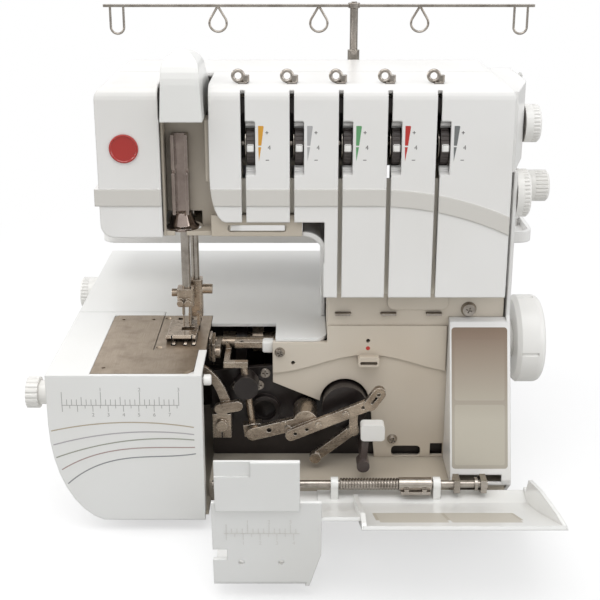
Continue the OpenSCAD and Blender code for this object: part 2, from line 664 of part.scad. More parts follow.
module mechanism_casting() color(dark) at_part() difference() {
    union() {
        along_y(casting_y) polygon([[-62, floor_z], [60, floor_z], [60, bed_under - 1], [-15, bed_under - 1],
            [-18, 92], [-62, 88]]);
        // bosses of the looper shafts and the round cam housing
        along_y([casting_y[0], 90]) {
            translate(lower_pivot) circle(d = 16);
            translate(upper_pivot) circle(d = 18);
        }
        along_y([52, 68]) translate(disc_c) circle(16);
        along_y([62, 68]) difference() {
            translate([-24, 59]) circle(11);
            translate([-24, 59]) circle(8);
        }
        // guide of the upper looper rod
        translate([rod_at(84)[0], 0, rod_at(84)[1]]) {
            ycyl(17, 0, [46, 58], 0);
            ycyl(11, 0, [57, 68], 0);
        }
        // bearing webs of the main shaft
        for (x = [[-46, -38], [112, 120]]) {
            box(x, [70, shaft_y + 4], [floor_z, 60]);
            along_x(x) {
                translate([shaft_y, shaft_z]) circle(d = shaft_d + 8);
                polygon([[70, 60], [70, 75], [shaft_y - 8, shaft_z], [shaft_y + 8, shaft_z], [shaft_y + 4, 60]]);
            }
        }
        box([-46, 120], [casting_y[0], casting_y[1]], [floor_z, 34]);
        // pillar that carries the arm casting
        box([112, 120], [shaft_y - 6, shaft_y + 13], [shaft_z, casting_top]);
        // frame under the needle plate and its leg
        difference() {
            box([plate_l + 0.6, plate_r - 0.4], [plate_f + 1, plate_b - 0.6], [bed_under - 3, bed_z - plate_t]);
            box([plate_l + 4.5, plate_r - 3.5], [plate_f + 6, plate_b - 8], [bed_under - 4, bed_z]);
        }
        box([plate_l + 0.6, plate_l + 6], [92, plate_b - 0.6], [tray_top, bed_under - 2]);
        box([plate_l + 0.6, -44], [98, plate_b - 0.6], [70, 76]);
        box([-46, -40], [98, 106], [60, 76]);
    }
    ycyl(pivot_d + 2 * running, lower_pivot[0], [40, 120], lower_pivot[1]);
    ycyl(pivot_d + 2 * running, upper_pivot[0], [40, 120], upper_pivot[1]);
    for (x = [-46, 112]) xcyl(shaft_d + 2 * running, [x - 1, x + 9], shaft_y, shaft_z);
    rod_line(rod_d + 2 * running, 70, 110);
    for (p = [[-23.6, 85], [-28.1, 77.3], [-44.6, 76.5]]) ycyl(2.6, p[0], [60, 75], p[1]);
}

// Point of the upper looper rod's line at height z.
function rod_at(z) = rod_foot + rod_dir * (z - rod_foot[1]) / rod_dir[1];

module rod_line(d, z0, z1) {
    a = rod_at(z0);
    translate([a[0], rod_y, a[1]]) rotate([0, atan2(rod_dir[0], rod_dir[1]), 0])
        cylinder(d = d, h = (z1 - z0) / rod_dir[1]);
}

module needle_plate() color(steel) at_part() difference() {
    box([plate_l + seam, plate_r - seam], [plate_f + seam, plate_b], [bed_z - plate_t, bed_z]);
    // slots for needles, both feed dogs and screws
    box([needle_x - 4, needle_x + 4], [needle_y - 2.8, needle_y + 0.6], [bed_z - 5, bed_z + 1]);
    for (x = feed_rows) {
        box([x - 1.6, x + 1.6], [77, 101], [bed_z - 5, bed_z + 1]);
        box([x - 1.6, x + 1.6], [49, 71.5], [bed_z - 5, bed_z + 1]);
    }
    for (p = [[plate_l + 3.4, plate_f + 4], [plate_l + 3.4, plate_b - 5]])
        translate([p[0], p[1], bed_z - 1.2]) cylinder(d1 = 2.6, d2 = 4.4, h = 1.3);
}

feed_rows = [needle_x - 8, needle_x, needle_x + 6];

module feed_dog(y0, y1) {
    difference() {
        for (x = feed_rows) box([x - 1.1, x + 1.1], [y0, y1], [bed_z - 8, bed_z - 0.1]);
        for (x = feed_rows, y = [y0 + 0.2:1.6:y1]) translate([x - 2, y, bed_z - 0.7]) rotate([45, 0, 0])
            cube([4, 1, 1]);
    }
    box([feed_rows[0] - 1.1, feed_rows[2] + 1.1], [y0, y1], [bed_z - 9.5, bed_z - 7]);
}

module main_feed_dog() color(steel) at_part() feed_dog(79.5, 94);

module differential_feed_dog() color(steel) at_part() feed_dog(53, 68.5);

module lower_knife() color(steel) at_part() {
    box([plate_r + 0.4, plate_r + 1.8], [62, 76], [bed_z - 17, bed_z - 0.2]);
    box([plate_r - 0.4, plate_r + 0.4], [64, 74], [bed_z - 16, bed_z - 6]);
}

module upper_knife() color(steel) at_part() {
    xcyl(pivot_d, [plate_r + 1.5, cut_r - 0.6], knife_y, knife_z);
    difference() {
        along_x([-58.6, -55]) union() {
            bar([knife_y, knife_z], [64, 104], 9);
        }
        xcyl(3, [-60, -50], 66, 104);
    }
    // blade with its slanted edge
    along_x([plate_r + 2.3, -58.6]) polygon([[60, 98], [70, 98], [70, bed_z + 1], [60, bed_z - 4]]);
    // release bracket with the white knob
    difference() {
        union() {
            box([-45, -25], [66, 71], [106, 110.3]);
            along_x([-45, -41]) bar([knife_y, knife_z], [69, 107], 5);
        }
        zcyl(3.2, -40, 68.5, [100, 115]);
    }
    xcyl(7.6, [-25, -18], 68.5, 107);
}

module lower_looper() color(steel) at_part() {
    ycyl(pivot_d, lower_pivot[0], [41, 96], lower_pivot[1]);
    difference() {
        along_y([44, 56]) difference() {
            translate(lower_pivot + [0, -1]) square([13, 18], center = true);
            translate(lower_pivot - [0.5, 12]) square([1, 9]);
        }
        ycyl(pivot_d, lower_pivot[0], [40, 60], lower_pivot[1]);
    }
    along_y([44, 48]) {
        bar([-55, 69], [-42.5, 71.2], 7.4);
        bar(lower_pivot + [0, 6], [-53, 69], 7);
    }
    along_y([48, 51]) ribbon([-50, 69], [-56, 95], [-73, 101], 7, 4.5);
    box([-74, -70.5], [48, needle_y + 2.2], [98.5, 102]);
    along_y([needle_y + 0.3, needle_y + 2.2]) ribbon([-71, 100], [-78, 103.5], [-87, 103], 3.4, 1.2);
}

module upper_looper() color(steel) at_part() {
    difference() {
        union() {
            rod_line(rod_d, rod_foot[1] + 3, 99);
            // slotted eye on the crank pin
            translate([rod_foot[0], 0, rod_foot[1]]) rotate([0, atan2(rod_dir[0], rod_dir[1]), 0])
                box([-6.5, 6.5], [48.5, 55.5], [-4.5, 4.5]);
        }
        translate([rod_foot[0], 0, rod_foot[1]]) rotate([0, atan2(rod_dir[0], rod_dir[1]), 0])
            box([-3.9, 3.9], [47, 57], [-2.2, 2.2]);
    }
    box([-52, rod_at(99)[0] + 3], [49.5, 54.5], [98, 102]);
    box([-52, -48], [49.5, 77], [98, 102]);
    along_y([74, 77]) ribbon([-50, 100], [-49.5, 104], [-52, 106.3], 4, 1.4);
}

module looper_take_up() color(steel) at_part() {
    ycyl(17, upper_pivot[0], [42, 64], upper_pivot[1]);
    ycyl(pivot_d, upper_pivot[0], [60, 96], upper_pivot[1]);
    difference() {
        along_y([38.5, 42]) bar([-5, 51.5], [48.5, 74.5], 8);
        for (p = [[6, 56.2], [-2, 52.8], [45, 73]]) ycyl(2.4, p[0], [37, 43], p[1]);
    }
    // upright eyelet
    difference() {
        along_y([37, 41.5]) bar([50, 75.5], [56, 84], 9);
        ycyl(2.8, 55.5, [36, 43], 83.5);
        along_y([36, 43]) bar([51, 77], [54, 81], 1.6);
    }
    // crank arm with its pin
    difference() {
        along_y([42, 46.5]) bar(rod_foot, upper_pivot, 9);
        ycyl(3.4, -20.5, [41, 47], 53.8);
    }
    ycyl(3.4, rod_foot[0], [42, 56], rod_foot[1]);
    for (p = [[-10.5, 59.5], [-7, 55.5], [14, 59.8], [33, 68]]) {
        ycyl(4.2, p[0], [p[0] < 0 ? 40.5 : 36.7, 43], p[1]);
    }
    // lower link hung from the lever
    along_y([42, 45]) bar([38.7, 68], [38.7, 53], 6);
    along_y([45, 48.5]) bar([38.7, 52.5], [12, 31], 7);
    for (p = [[38.7, 52.5], [12, 31]]) ycyl(8, p[0], [43.5, 48.5], p[1]);
}

module threading_lever() color(white) at_part() {
    along_y([27.5, 36.5]) round_rect([43, 53], [59.5, 65], 2.5);
    along_y([29.5, 34.5]) bar([47, 56], [45, 36], 4.6);
    ycyl(9, 45, [26.5, 37], 34);
    ycyl(4, 45, [34, panel_y + 5], 34);
}

// ---------------------------------------------------------------- left cover with cloth plate

module door_section(i) polygon(concat([[-62.6, bed_z - i], [-base_left + i, bed_z - i]],
    [for (p = base_curve(i)) if (p[1] > foot_h + 1) p], [[-base_left + curve_rx, foot_h + 1 + 0 * i], [-62.6, foot_h + 1]]));

module left_cover() color(white) at_part() difference() {
    along_y([0, door_d]) door_section(0);
    along_y([wall, door_d + 1]) intersection() {
        door_section(wall);
        translate([-200, 0]) square([200 - 62.6 - wall, 200]);
    }
    // bottom opens behind the front wall
    box([-200, 0], [wall, door_d + 1], [0, tray_top + 0.4]);
    // right side stays open to the loopers behind a short return
    box([-62.6 - wall - 1, 0], [10, door_d + 1], [0, bed_under + 1]);
    // room for the needle plate
    box([plate_l, 0], [plate_f, door_d + 1], [bed_under - 1, bed_z + 1]);
    // seat of the metal cloth plate
    box([-135.6, plate_l + 1], [3, 105.5], [bed_z - 1.4, bed_z + 1]);
    box([-135.6, -68], [3, plate_f + 1], [bed_z - 1.4, bed_z + 1]);
    // release knob and width knob shafts
    xcyl(4 + 2 * running, [-75, -60], 8, bed_z - 6.5);
    xcyl(5 + 2 * running, [-base_left - 1, -base_left + wall + 1], 25, 91.5);
}

module cloth_plate() color(steel) at_part() difference() {
    along_z([bed_z - 1.4, bed_z + 0.2]) polygon([[-135.3, 3.3], [-75, 3.3], [-68.3, 10], [-68.3, plate_f - 0.2],
        [plate_l - 0.2, plate_f - 0.2], [plate_l - 0.2, 105.2], [-133, 105.2], [-135.3, 102]]);
    for (p = [[-128, 12], [-128, 97], [-106, 97]]) zcyl(2.6, p[0], p[1], [bed_z - 2, bed_z + 1]);
    translate([-98, 13, bed_z + 0.7]) scale(1) rotate([0, 0, 0]) cylinder(d = 9, h = 1);
}

module cover_latch() color(white) at_part() {
    translate([-61.8, 8, bed_z - 6.5]) rotate([0, 90, 0]) rotate_extrude()
        polygon([[0, 0], [3.6, 0], [3.6, 4.2], [2.8, 5], [0, 5]]);
    xcyl(4, [-74, -61.8], 8, bed_z - 6.5);
}

module cutting_width_knob() color(white) at_part() {
    difference() {
        xcyl(21, [-182, -174], 25, 91.5);
        for (a = [0:20:340]) translate([0, 25, 91.5]) rotate([a, 0, 0]) xcyl(2, [-183, -173], 10.8, 0);
    }
    xcyl(16, [-174, -base_left - clear], 25, 91.5);
    xcyl(5, [-base_left - 2, -base_left + 8], 25, 91.5);
    xcyl(9, [-base_left + wall + clear, -base_left + 8], 25, 91.5);
}

// ---------------------------------------------------------------- front cover and its hinge

rod_l = -58;
rod_r = 128;

// Ear that carries the rod in front of the lip.
module rod_ear(x) along_x(x) polygon([[lip_y, foot_h + 3], [lip_y, floor_z - 0.5], [hinge_y + 12, floor_z - 0.5],
    [hinge_y + 5.5, hinge_z + 4.5], [hinge_y - 4.5, hinge_z + 4.5], [hinge_y - 4.5, hinge_z - 4.5],
    [hinge_y, hinge_z - 6], [hinge_y + 5.6, hinge_z - 6.6], [hinge_y + 8.5, hinge_z - 12],
    [hinge_y + 9, foot_h + 3]]);

module hinge_rod() color(chrome) at_part() {
    xcyl(hinge_d, [rod_l, rod_r], hinge_y, hinge_z);
    difference() {
        union() {
            for (x = [rod_l + 1, 105, rod_r - 5]) rod_ear([x, x + 4]);
            box([105, rod_r - 1], [hinge_y + 10, lip_y], [floor_z - 4, floor_z - 1.5]);
            xcyl(hinge_d + 4, [rod_r - 9, rod_r - 7], hinge_y, hinge_z);
        }
        xcyl(hinge_d, [rod_l, rod_r], hinge_y, hinge_z);
    }
}

sleeve_l = 58;
sleeve_r = 80;
spring_l = 18;

// The slide stands at its right end, where the cover can tilt.
module cover_slide() color(chrome) at_part() translate([cover_slide_x, 0, 0]) {
    difference() {
        union() {
            xcyl(hinge_d + 4, [sleeve_l, sleeve_r], hinge_y, hinge_z);
            box([sleeve_l + 1, sleeve_r - 1], [hinge_y - 6.8, hinge_y], [hinge_z - 4.5, hinge_z - 2.5]);
            // return spring, wound close
            translate([spring_l, hinge_y, hinge_z]) rotate([0, 90, 0]) rotate_extrude() polygon(concat(
                [[hinge_d / 2, 0]], [for (i = [0:2 * spring_turns]) [hinge_d / 2 + 0.9 + (i % 2) * 0.8,
                i * (sleeve_l - spring_l) / (2 * spring_turns)]], [[hinge_d / 2, sleeve_l - spring_l]]));
        }
        xcyl(hinge_d + 2 * running, [spring_l - 1, sleeve_r + 1], hinge_y, hinge_z);
    }
    for (x = [sleeve_l + 5, sleeve_r - 5]) zcyl(4, x, hinge_y - 4.8, [hinge_z - 2.6, hinge_z - 1]);
}

spring_turns = 20;

cover_low = hinge_z - 4.5;
cover_l = -61;
cover_r = 146.4;
fold_x = 4;
cover_top = [56, 141];
shelf_z = bed_z + 0.4;
block_l = -58.5;
block_r = -8.8;

// The cover as it stands when closed.
module closed_cover() {
    // front wall and shelf of the left part
    difference() {
        along_x([cover_l, fold_x]) polygon([[-4, cover_low], [-4, bed_z - 3], [-1, bed_z], [58, bed_z], [58, bed_under],
            [-1, bed_under], [-4 + wall, bed_under - 2], [-4 + wall, cover_low]]);
        box([cover_l - 1, cover_l + 8.5], [9, 17], [bed_under - 1, bed_z + 1]);
        for (x = [cover_l + 17, cover_l + 41]) zcyl(3.6, x, 20, [bed_under - 1, bed_z + 1]);
    }
    // raised block that covers the cut-out of the bed, with a step at its corner
    difference() {
        union() {
            box([block_l, block_r], [54, cut_b - 1], [shelf_z, shelf_z + wall]);
            box([block_l, block_r], [54, 58], [bed_z - 1, shelf_z + wall]);
        }
        box([block_l - 1, block_l + 21], [cut_b - 11, cut_b], [shelf_z + wall - 1, shelf_z + wall + 1]);
    }
    // side web that stiffens the fold
    along_x([fold_x - wall, fold_x]) polygon([[-4, 60], [-4, bed_z - 3], [-1, bed_z], [34, bed_z], [20, 84], [0, 50]]);
    // right part: slanted panel with a shallow rim
    along_x([fold_x - 1, cover_r - 1]) polygon([[-3, cover_low], [-3, 40], [12, 68], cover_top,
        cover_top + [2, -1.2], [14.5, 68], [-0.5, 41], [-0.5, cover_low]]);
    along_x([cover_r - wall, cover_r]) polygon([[-3, cover_low], [-3, 40], [12, 68], cover_top, cover_top + [0.6, -3],
        [52, 122], [30, 68], [16, 38], [2, 33], [2, cover_low]]);
    along_x([28, 31]) polygon([[-1, 42], [13, 68], cover_top + [1, -2], cover_top + [2, -6], [21, 68], [6, 40]]);
    // hinge lugs
    for (x = [-44, spring_l - 6, sleeve_r + 1]) difference() {
        along_x([x, x + 5]) {
            translate([hinge_y, hinge_z]) circle(d = hinge_d + 4.5);
            polygon([[-2, cover_low], [hinge_y, hinge_z - 4.6], [hinge_y, hinge_z + 4.6], [-2, hinge_z + 6]]);
        }
        xcyl(hinge_d + 2 * running, [x - 1, x + 6], hinge_y, hinge_z);
    }
}

module front_cover() color(white) at_part() translate([cover_slide_x, hinge_y, hinge_z])
    rotate([cover_open, 0, 0]) translate([0, -hinge_y, -hinge_z]) closed_cover();

// ---------------------------------------------------------------- drive

module main_shaft() color(steel) at_part() {
    xcyl(shaft_d, [-56, side_x + 16], shaft_y, shaft_z);
    // eccentrics of feed and loopers
    for (x = [[-34, 1.5], [-14, -1.5], [20, 2]]) xcyl(22, [x[0], x[0] + 8], shaft_y + x[1], shaft_z);
    // belt pulley
    translate([98, shaft_y, shaft_z]) rotate([0, 90, 0]) rotate_extrude() polygon([[0, 0], [pulley_d / 2 + 2, 0],
        [pulley_d / 2 + 2, 1.2], [pulley_d / 2 - 1.4, 1.2], [pulley_d / 2 - 1.4, 9], [pulley_d / 2 + 2, 9],
        [pulley_d / 2 + 2, 10.2], [0, 10.2]]);
}

module handwheel() color(white) at_part() translate([side_x + wall + 12, shaft_y, shaft_z]) rotate([0, 90, 0])
    difference() {
        union() {
            rotate_extrude() polygon(concat([[shaft_d / 2, -10], [14, -10], [14, 0], [handwheel_d / 2 - 3, 0],
                [handwheel_d / 2, 3]], [[handwheel_d / 2, handwheel_w - 6]],
                [for (t = [15:15:90]) [handwheel_d / 2 - 6 + 6 * cos(t), handwheel_w - 6 + 6 * sin(t)]],
                [[handwheel_d / 2 - 9, handwheel_w], [handwheel_d / 2 - 12, handwheel_w - 3], [10, handwheel_w - 3],
                [9, handwheel_w - 1], [0, handwheel_w - 1], [0, 6], [shaft_d / 2, 6]]));
        }
        for (a = [0:15:345]) rotate(a) translate([handwheel_d / 2 + 0.6, 0, 3]) cylinder(d = 3, h = handwheel_w - 9);
    }

module motor() color(charcoal) at_part() {
    difference() {
        union() {
            xcyl(motor_d, [20, 88], motor_y, motor_z);
            xcyl(26, [88, 92], motor_y, motor_z);
            box([32, 82], [motor_y - 22, motor_y + 20], [tray_top, motor_z - 10]);
        }
        for (a = [0:30:330]) translate([0, motor_y, motor_z]) rotate([a, 0, 0]) box([30, 50], [motor_d / 2 - 2, 40],
            [-2, 2]);
        xcyl(6 + 2 * running, [60, 93], motor_y, motor_z);
    }
}

module motor_pulley() color(steel) at_part() {
    xcyl(6, [70, 110], motor_y, motor_z);
    translate([98, motor_y, motor_z]) rotate([0, 90, 0]) rotate_extrude() polygon([[0, 0], [motor_pulley_d / 2 + 2, 0],
        [motor_pulley_d / 2 + 2, 1.2], [motor_pulley_d / 2 - 1.4, 1.2], [motor_pulley_d / 2 - 1.4, 9],
        [motor_pulley_d / 2 + 2, 9], [motor_pulley_d / 2 + 2, 10.2], [0, 10.2]]);
}

// Outline of a belt that runs r outside both pulleys, in Y and Z.
module belt_outline(r) {
    a = [shaft_y, shaft_z];
    b = [motor_y, motor_z];
    d = b - a;
    r1 = pulley_d / 2 + r;
    r2 = motor_pulley_d / 2 + r;
    turn = atan2(d[1], d[0]);
    lean = acos((r1 - r2) / norm(d));
    p = function(c, r, t) c + r * [cos(t), sin(t)];
    translate(a) circle(r1);
    translate(b) circle(r2);
    polygon([p(a, r1, turn + lean), p(a, r1, turn - lean), p(b, r2, turn - lean), p(b, r2, turn + lean)]);
}

module drive_belt() color(rubber) at_part() along_x([99.6, 106.6]) difference() {
    belt_outline(0.6);
    belt_outline(-1.1);
}

module power_inlet() color(rubber) at_part() difference() {
    union() {
        box([inlet_x[0] + 0.3, inlet_x[1] - 0.3], [base_d - 22, base_d - 0.2], [30.3, 51.7]);
        box([inlet_x[0] - 2, inlet_x[1] + 2], [base_d - wall - 2, base_d - wall], [28, 54]);
    }
    box([inlet_x[0] + 3, inlet_x[0] + 16], [base_d - 16, base_d + 1], [34, 48]);
    box([inlet_x[1] - 10.5, inlet_x[1] - 2.5], [base_d - 12, base_d + 1], [33, 49]);
}

module power_switch() color(rubber) at_part() translate([inlet_x[1] - 6.5, base_d - 5, 41]) {
    along_x([-3.5, 3.5]) polygon([[-3, -6.5], [3.5, -6.5], [4.6, 0], [6.5, 6.5], [-3, 6.5]]);
    xcyl(2.4, [-3.6, 3.6], 0, 0);
}

// ---------------------------------------------------------------- needle bar and presser

module needle_bar() color(chrome) at_part() zcyl(needle_bar_d, needle_x, needle_y, [bed_z + 25, head_top - 10]);

module needle_clamp() color(steel) at_part() difference() {
    union() {
        along_z([bed_z + 21, bed_z + 34]) round_rect([needle_x - 6.5, needle_y - 5.5], [needle_x + 5, needle_y + 5], 2);
        for (x = [-4, 1.5]) ycyl(4.5, needle_x + x, [needle_y - 9.5, needle_y - 5], bed_z + 25);
        xcyl(5.5, [needle_x - 10.5, needle_x - 6], needle_y, bed_z + 30);
    }
    zcyl(needle_bar_d, needle_x, needle_y, [bed_z + 25, bed_z + 40]);
    for (x = [-2.5, 2]) zcyl(2, needle_x + x, needle_y - (x < 0 ? 1.4 : 0.9), [bed_z + 20, bed_z + 25]);
}

module needles() color(chrome) at_part() for (x = [-2.5, 2]) {
    y = needle_y - (x < 0 ? 1.4 : 0.9);
    zcyl(2, needle_x + x, y, [bed_z + 14, bed_z + 25]);
    translate([needle_x + x, y, bed_z + needle_lift]) rotate_extrude()
        polygon([[0, 0], [0.5, 4], [0.5, 12], [1, 13], [0, 13]]);
}

foot_top = bed_z + 0.3;

module presser_bar() color(chrome) at_part() {
    zcyl(presser_bar_d, presser_x, presser_y, [bed_z + 21, 286]);
    // lifting collar inside the head
    difference() {
        zcyl(11, presser_x, presser_y, [226, 233]);
        zcyl(presser_bar_d, presser_x, presser_y, [225, 234]);
    }
}

module presser_foot() color(chrome) at_part() {
    // sole with toes turned up
    difference() {
        along_x([needle_x - 13.5, needle_x + 7]) polygon([[54, foot_top + 3], [57, foot_top + 0.6], [60, foot_top],
            [90, foot_top], [90, foot_top + 2.4], [60, foot_top + 2.6], [55, foot_top + 5]]);
        box([needle_x - 4.5, needle_x + 4.5], [needle_y - 4, needle_y + 3], [foot_top - 1, foot_top + 6]);
        for (x = [-10, 4]) box([needle_x + x, needle_x + x + 1], [50, 62], [foot_top - 1, foot_top + 6]);
    }
    // ankle and shank
    box([presser_x - 5, presser_x - 3], [80, 90], [foot_top + 2, foot_top + 12]);
    box([presser_x + 1, presser_x + 3], [80, 90], [foot_top + 2, foot_top + 12]);
    difference() {
        union() {
            along_z([foot_top + 8, bed_z + 36]) round_rect([presser_x - 5, presser_y - 4.5], [presser_x + 5, presser_y + 5], 2);
            xcyl(7, [presser_x + 4, presser_x + 12], presser_y, bed_z + 28);
        }
        zcyl(presser_bar_d, presser_x, presser_y, [bed_z + 21, bed_z + 40]);
    }
}

module presser_lifter() color(charcoal) at_part() {
    xcyl(9, [presser_x - 4.5, presser_x + 4.5], lifter_y, lifter_z);
    xcyl(4, [presser_x - 9, presser_x + 9], lifter_y, lifter_z);
    along_x([presser_x - 3, presser_x + 3]) union() {
        bar([lifter_y, lifter_z], [98, 222], 6);
        bar([lifter_y, lifter_z], [158, 212], 7);
        bar([158, 212], [182, 196], 8);
    }
}

// ---------------------------------------------------------------- dials

// A round dial with a gripped rim, along X from x0, and its shaft into the cover.
module side_dial(d, x0, w, y, z, shaft_to, grips) difference() {
    union() {
        translate([x0, y, z]) rotate([0, 90, 0]) rotate_extrude() polygon([[0, 0], [d / 2, 0], [d / 2, w - 1.5],
            [d / 2 - 1.5, w], [0, w]]);
        xcyl(8 - 2 * running, [shaft_to, x0], y, z);
    }
    for (a = [0:360 / grips:359]) translate([0, y, z]) rotate([a, 0, 0]) xcyl(1.6, [x0 + w / 2, x0 + w + 1], d / 2 + 0.2, 0);
}

module stitch_length_dial() color(white) at_part() side_dial(27, head_right + 18.5, 11, 110, 259, head_right + 10, 30);

module differential_feed_dial() color(white) at_part() side_dial(33, side_x + wall + clear, 9.5, 74, 217.8, side_x - 4, 36);

module presser_pressure_knob() color(white) at_part() {
    side_dial(23, side_x + wall + 14, 20, 120, 211, side_x - 4, 24);
    xcyl(16, [side_x + wall + clear, side_x + wall + 14], 120, 211);
}

module stitch_width_dial() color(white) at_part() mirror([1, 0, 0])
    side_dial(26, base_left + clear, 13, 192, 101, base_left - 8, 28);

// ---------------------------------------------------------------- thread stand

module spool_stand() color(white) at_part() difference() {
    union() {
        along_z([tray_z, tray_z + 3]) round_rect([pin_x[0] - 25, antenna_y - 7], [186, pin_y + 32], 12);
        difference() {
            along_z([tray_z, tray_z + 9]) round_rect([pin_x[0] - 25, antenna_y - 7], [186, pin_y + 32], 12);
            along_z([tray_z - 1, tray_z + 10]) round_rect([pin_x[0] - 22, antenna_y - 4], [183, pin_y + 29], 9);
        }
        zcyl(16, antenna_x, antenna_y + 4, [tray_z + 2, tray_z + 22]);
        for (x = pin_x) zcyl(11, x, pin_y, [tray_z + 2, tray_z + 8]);
        // bracket to the rear of the column
        box([30, 124], [head_back, head_back + 4], [122, tray_z + 9]);
        box([30, 124], [head_back + 1, antenna_y], [tray_z, tray_z + 3]);
        for (x = [32, 76, 118]) along_x([x, x + 4]) polygon([[head_back + 2, 124], [pin_y + 10, tray_z + 1],
            [head_back + 2, tray_z + 1]]);
    }
    zcyl(9, antenna_x, antenna_y + 4, [tray_z + 6, tray_z + 30]);
    for (x = pin_x) zcyl(4, x, pin_y, [tray_z + 4, tray_z + 10]);
    for (x = [54, 98]) ycyl(5, x, [head_back - 1, head_back + 6], 132);
}

module spool_pins() color(cool_grey) at_part() for (x = pin_x) translate([x, pin_y, 0]) {
    zcyl(4, 0, 0, [tray_z + 4, pin_top - 2]);
    translate([0, 0, pin_top - 2]) cylinder(d1 = 4, d2 = 1.6, h = 2);
    translate([0, 0, tray_z + 8.2]) rotate_extrude() polygon([[2, 0], [6, 0], [6, 1.6], [3.4, 6], [2, 7]]);
}

ay = antenna_y + 4;

module antenna_tube() color(chrome) at_part() difference() {
    zcyl(9, antenna_x, ay, [tray_z + 6, 301]);
    zcyl(6 + 2 * running, antenna_x, ay, [tray_z + 10, 302]);
}

module antenna_rod() color(chrome) at_part() {
    zcyl(6, antenna_x, ay, [tray_z + 45, guide_z - 1]);
    zcyl(4, antenna_x, ay, [guide_z - 1, guide_z + 4]);
}

module guide_bar() color(chrome) at_part() {
    difference() {
        union() {
            zcyl(9, antenna_x, ay, [guide_z - 0.8, guide_z + 3.2]);
            for (s = [[antenna_x - 3, 15.5 - 2 * guide_pitch - 4], [antenna_x + 3, 15.5 + 2 * guide_pitch + 4]])
                along_z([guide_z, guide_z + 2]) bar([s[0], ay], [s[1], ay], 4.5);
        }
        zcyl(4 + 2 * running, antenna_x, ay, [guide_z - 2, guide_z + 5]);
    }
    for (i = [-2:2]) translate([15.5 + i * guide_pitch, ay, guide_z - 8]) {
        rotate([0, 90, 90]) rotate_extrude() translate([7, 0]) circle(d = 1.8);
        zcyl(2.4, 0, 0, [6.4, 9]);
    }
}

// ---------------------------------------------------------------- all nodes

base_tray();
rubber_feet();
bed_cover();
inner_panel();
right_side_cover();
face_cover();
rear_cover();
needle_bar_hood();
badge();
arm_frame();
mechanism_casting();
needle_plate();
lower_knife();
needle_bar_guide();
thread_guides();
panel_screws();
tension_bracket();
tension_discs();
motor();
drive_belt();
power_inlet();
work_lamp();
spool_stand();
spool_pins();
antenna_tube();
hinge_rod();
power_switch();
handwheel();
main_shaft();
motor_pulley();
needle_bar();
needle_clamp();
needles();
presser_bar();
presser_foot();
presser_lifter();
upper_looper();
lower_looper();
looper_take_up();
upper_knife();
main_feed_dog();
differential_feed_dog();
threading_lever();
left_cover();
cloth_plate();
cover_latch();
cutting_width_knob();
cover_slide();
front_cover();
tension_dial_1();
tension_dial_2();
tension_dial_3();
tension_dial_4();
tension_dial_5();
stitch_length_dial();
differential_feed_dial();
presser_pressure_knob();
stitch_width_dial();
antenna_rod();
guide_bar();
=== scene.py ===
# Studio scene of the five-thread overlock machine: finishes, printed marks and small trim.
import math

import bmesh
import bpy
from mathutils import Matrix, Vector


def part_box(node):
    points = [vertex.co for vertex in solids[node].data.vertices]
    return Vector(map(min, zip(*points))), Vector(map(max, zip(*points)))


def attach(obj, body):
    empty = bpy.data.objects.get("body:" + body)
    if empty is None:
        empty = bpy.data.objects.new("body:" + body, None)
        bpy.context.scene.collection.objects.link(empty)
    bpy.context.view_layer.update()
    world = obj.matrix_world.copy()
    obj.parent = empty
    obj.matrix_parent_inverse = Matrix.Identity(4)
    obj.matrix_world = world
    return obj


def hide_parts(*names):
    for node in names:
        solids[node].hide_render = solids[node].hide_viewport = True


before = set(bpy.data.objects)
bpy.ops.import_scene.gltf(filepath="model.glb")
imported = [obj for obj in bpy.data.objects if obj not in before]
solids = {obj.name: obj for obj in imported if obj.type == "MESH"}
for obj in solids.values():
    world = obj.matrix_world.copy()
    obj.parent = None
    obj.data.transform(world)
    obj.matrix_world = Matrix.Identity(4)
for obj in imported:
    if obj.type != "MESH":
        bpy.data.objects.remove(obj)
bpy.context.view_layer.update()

# Places on the machine are in millimetres and become metres in at(). Finishes, floor, lamps and
# camera are in metres.
MM = 0.001
INCH = 25.4
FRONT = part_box("left_cover")[0].y  # front face of the left cover, in metres
HEAD_D = 45  # front face of the head
THREADS = 5
SLOT_X, SLOT_STEP = -35.7, 31.7  # first thread slot of the head and the step to the next
WINDOW_Z = 255  # middle of the windows that show the tension dials
SLOTS = [SLOT_X + SLOT_STEP * k for k in range(THREADS)]

COVER_ANGLE = 97  # degrees that the open front cover has turned down
COVER_SHIFT = 10  # how far it stands to the right of its closed place
HINGE_D, HINGE_Z = 8.0, 31.5
SHELF_TOP = 115  # top of its shelf when it is closed


def at(x, d, z):
    """A place right of the middle, behind the left cover's face and above the table."""
    return Vector((x * MM, FRONT + d * MM, z * MM))


def tint(code):
    """A paint chip such as c8c4bb as a scene colour."""
    parts = [int(code[i:i + 2], 16) / 255 for i in (0, 2, 4)]
    return [p / 12.92 if p <= 0.04045 else ((p + 0.055) / 1.055) ** 2.4 for p in parts] + [1.0]


# ------------------------------------------------------------------ shader effects

def effect(name, inputs, outputs):
    """A shader node group with its sockets: (tree, entry node, exit node)."""
    tree = bpy.data.node_groups.new(name, "ShaderNodeTree")
    for label, kind, value in inputs:
        socket = tree.interface.new_socket(label, in_out="INPUT", socket_type="NodeSocket" + kind)
        socket.default_value = value
    for label, kind in outputs:
        tree.interface.new_socket(label, in_out="OUTPUT", socket_type="NodeSocket" + kind)
    return tree, tree.nodes.new("NodeGroupInput"), tree.nodes.new("NodeGroupOutput")


def feed(tree, node, sockets):
    """Feeds sockets, by name or number, from a value or from another node's socket."""
    for key, value in sockets.items():
        if isinstance(value, bpy.types.NodeSocket):
            tree.links.new(value, node.inputs[key])
        else:
            node.inputs[key].default_value = value
    return node


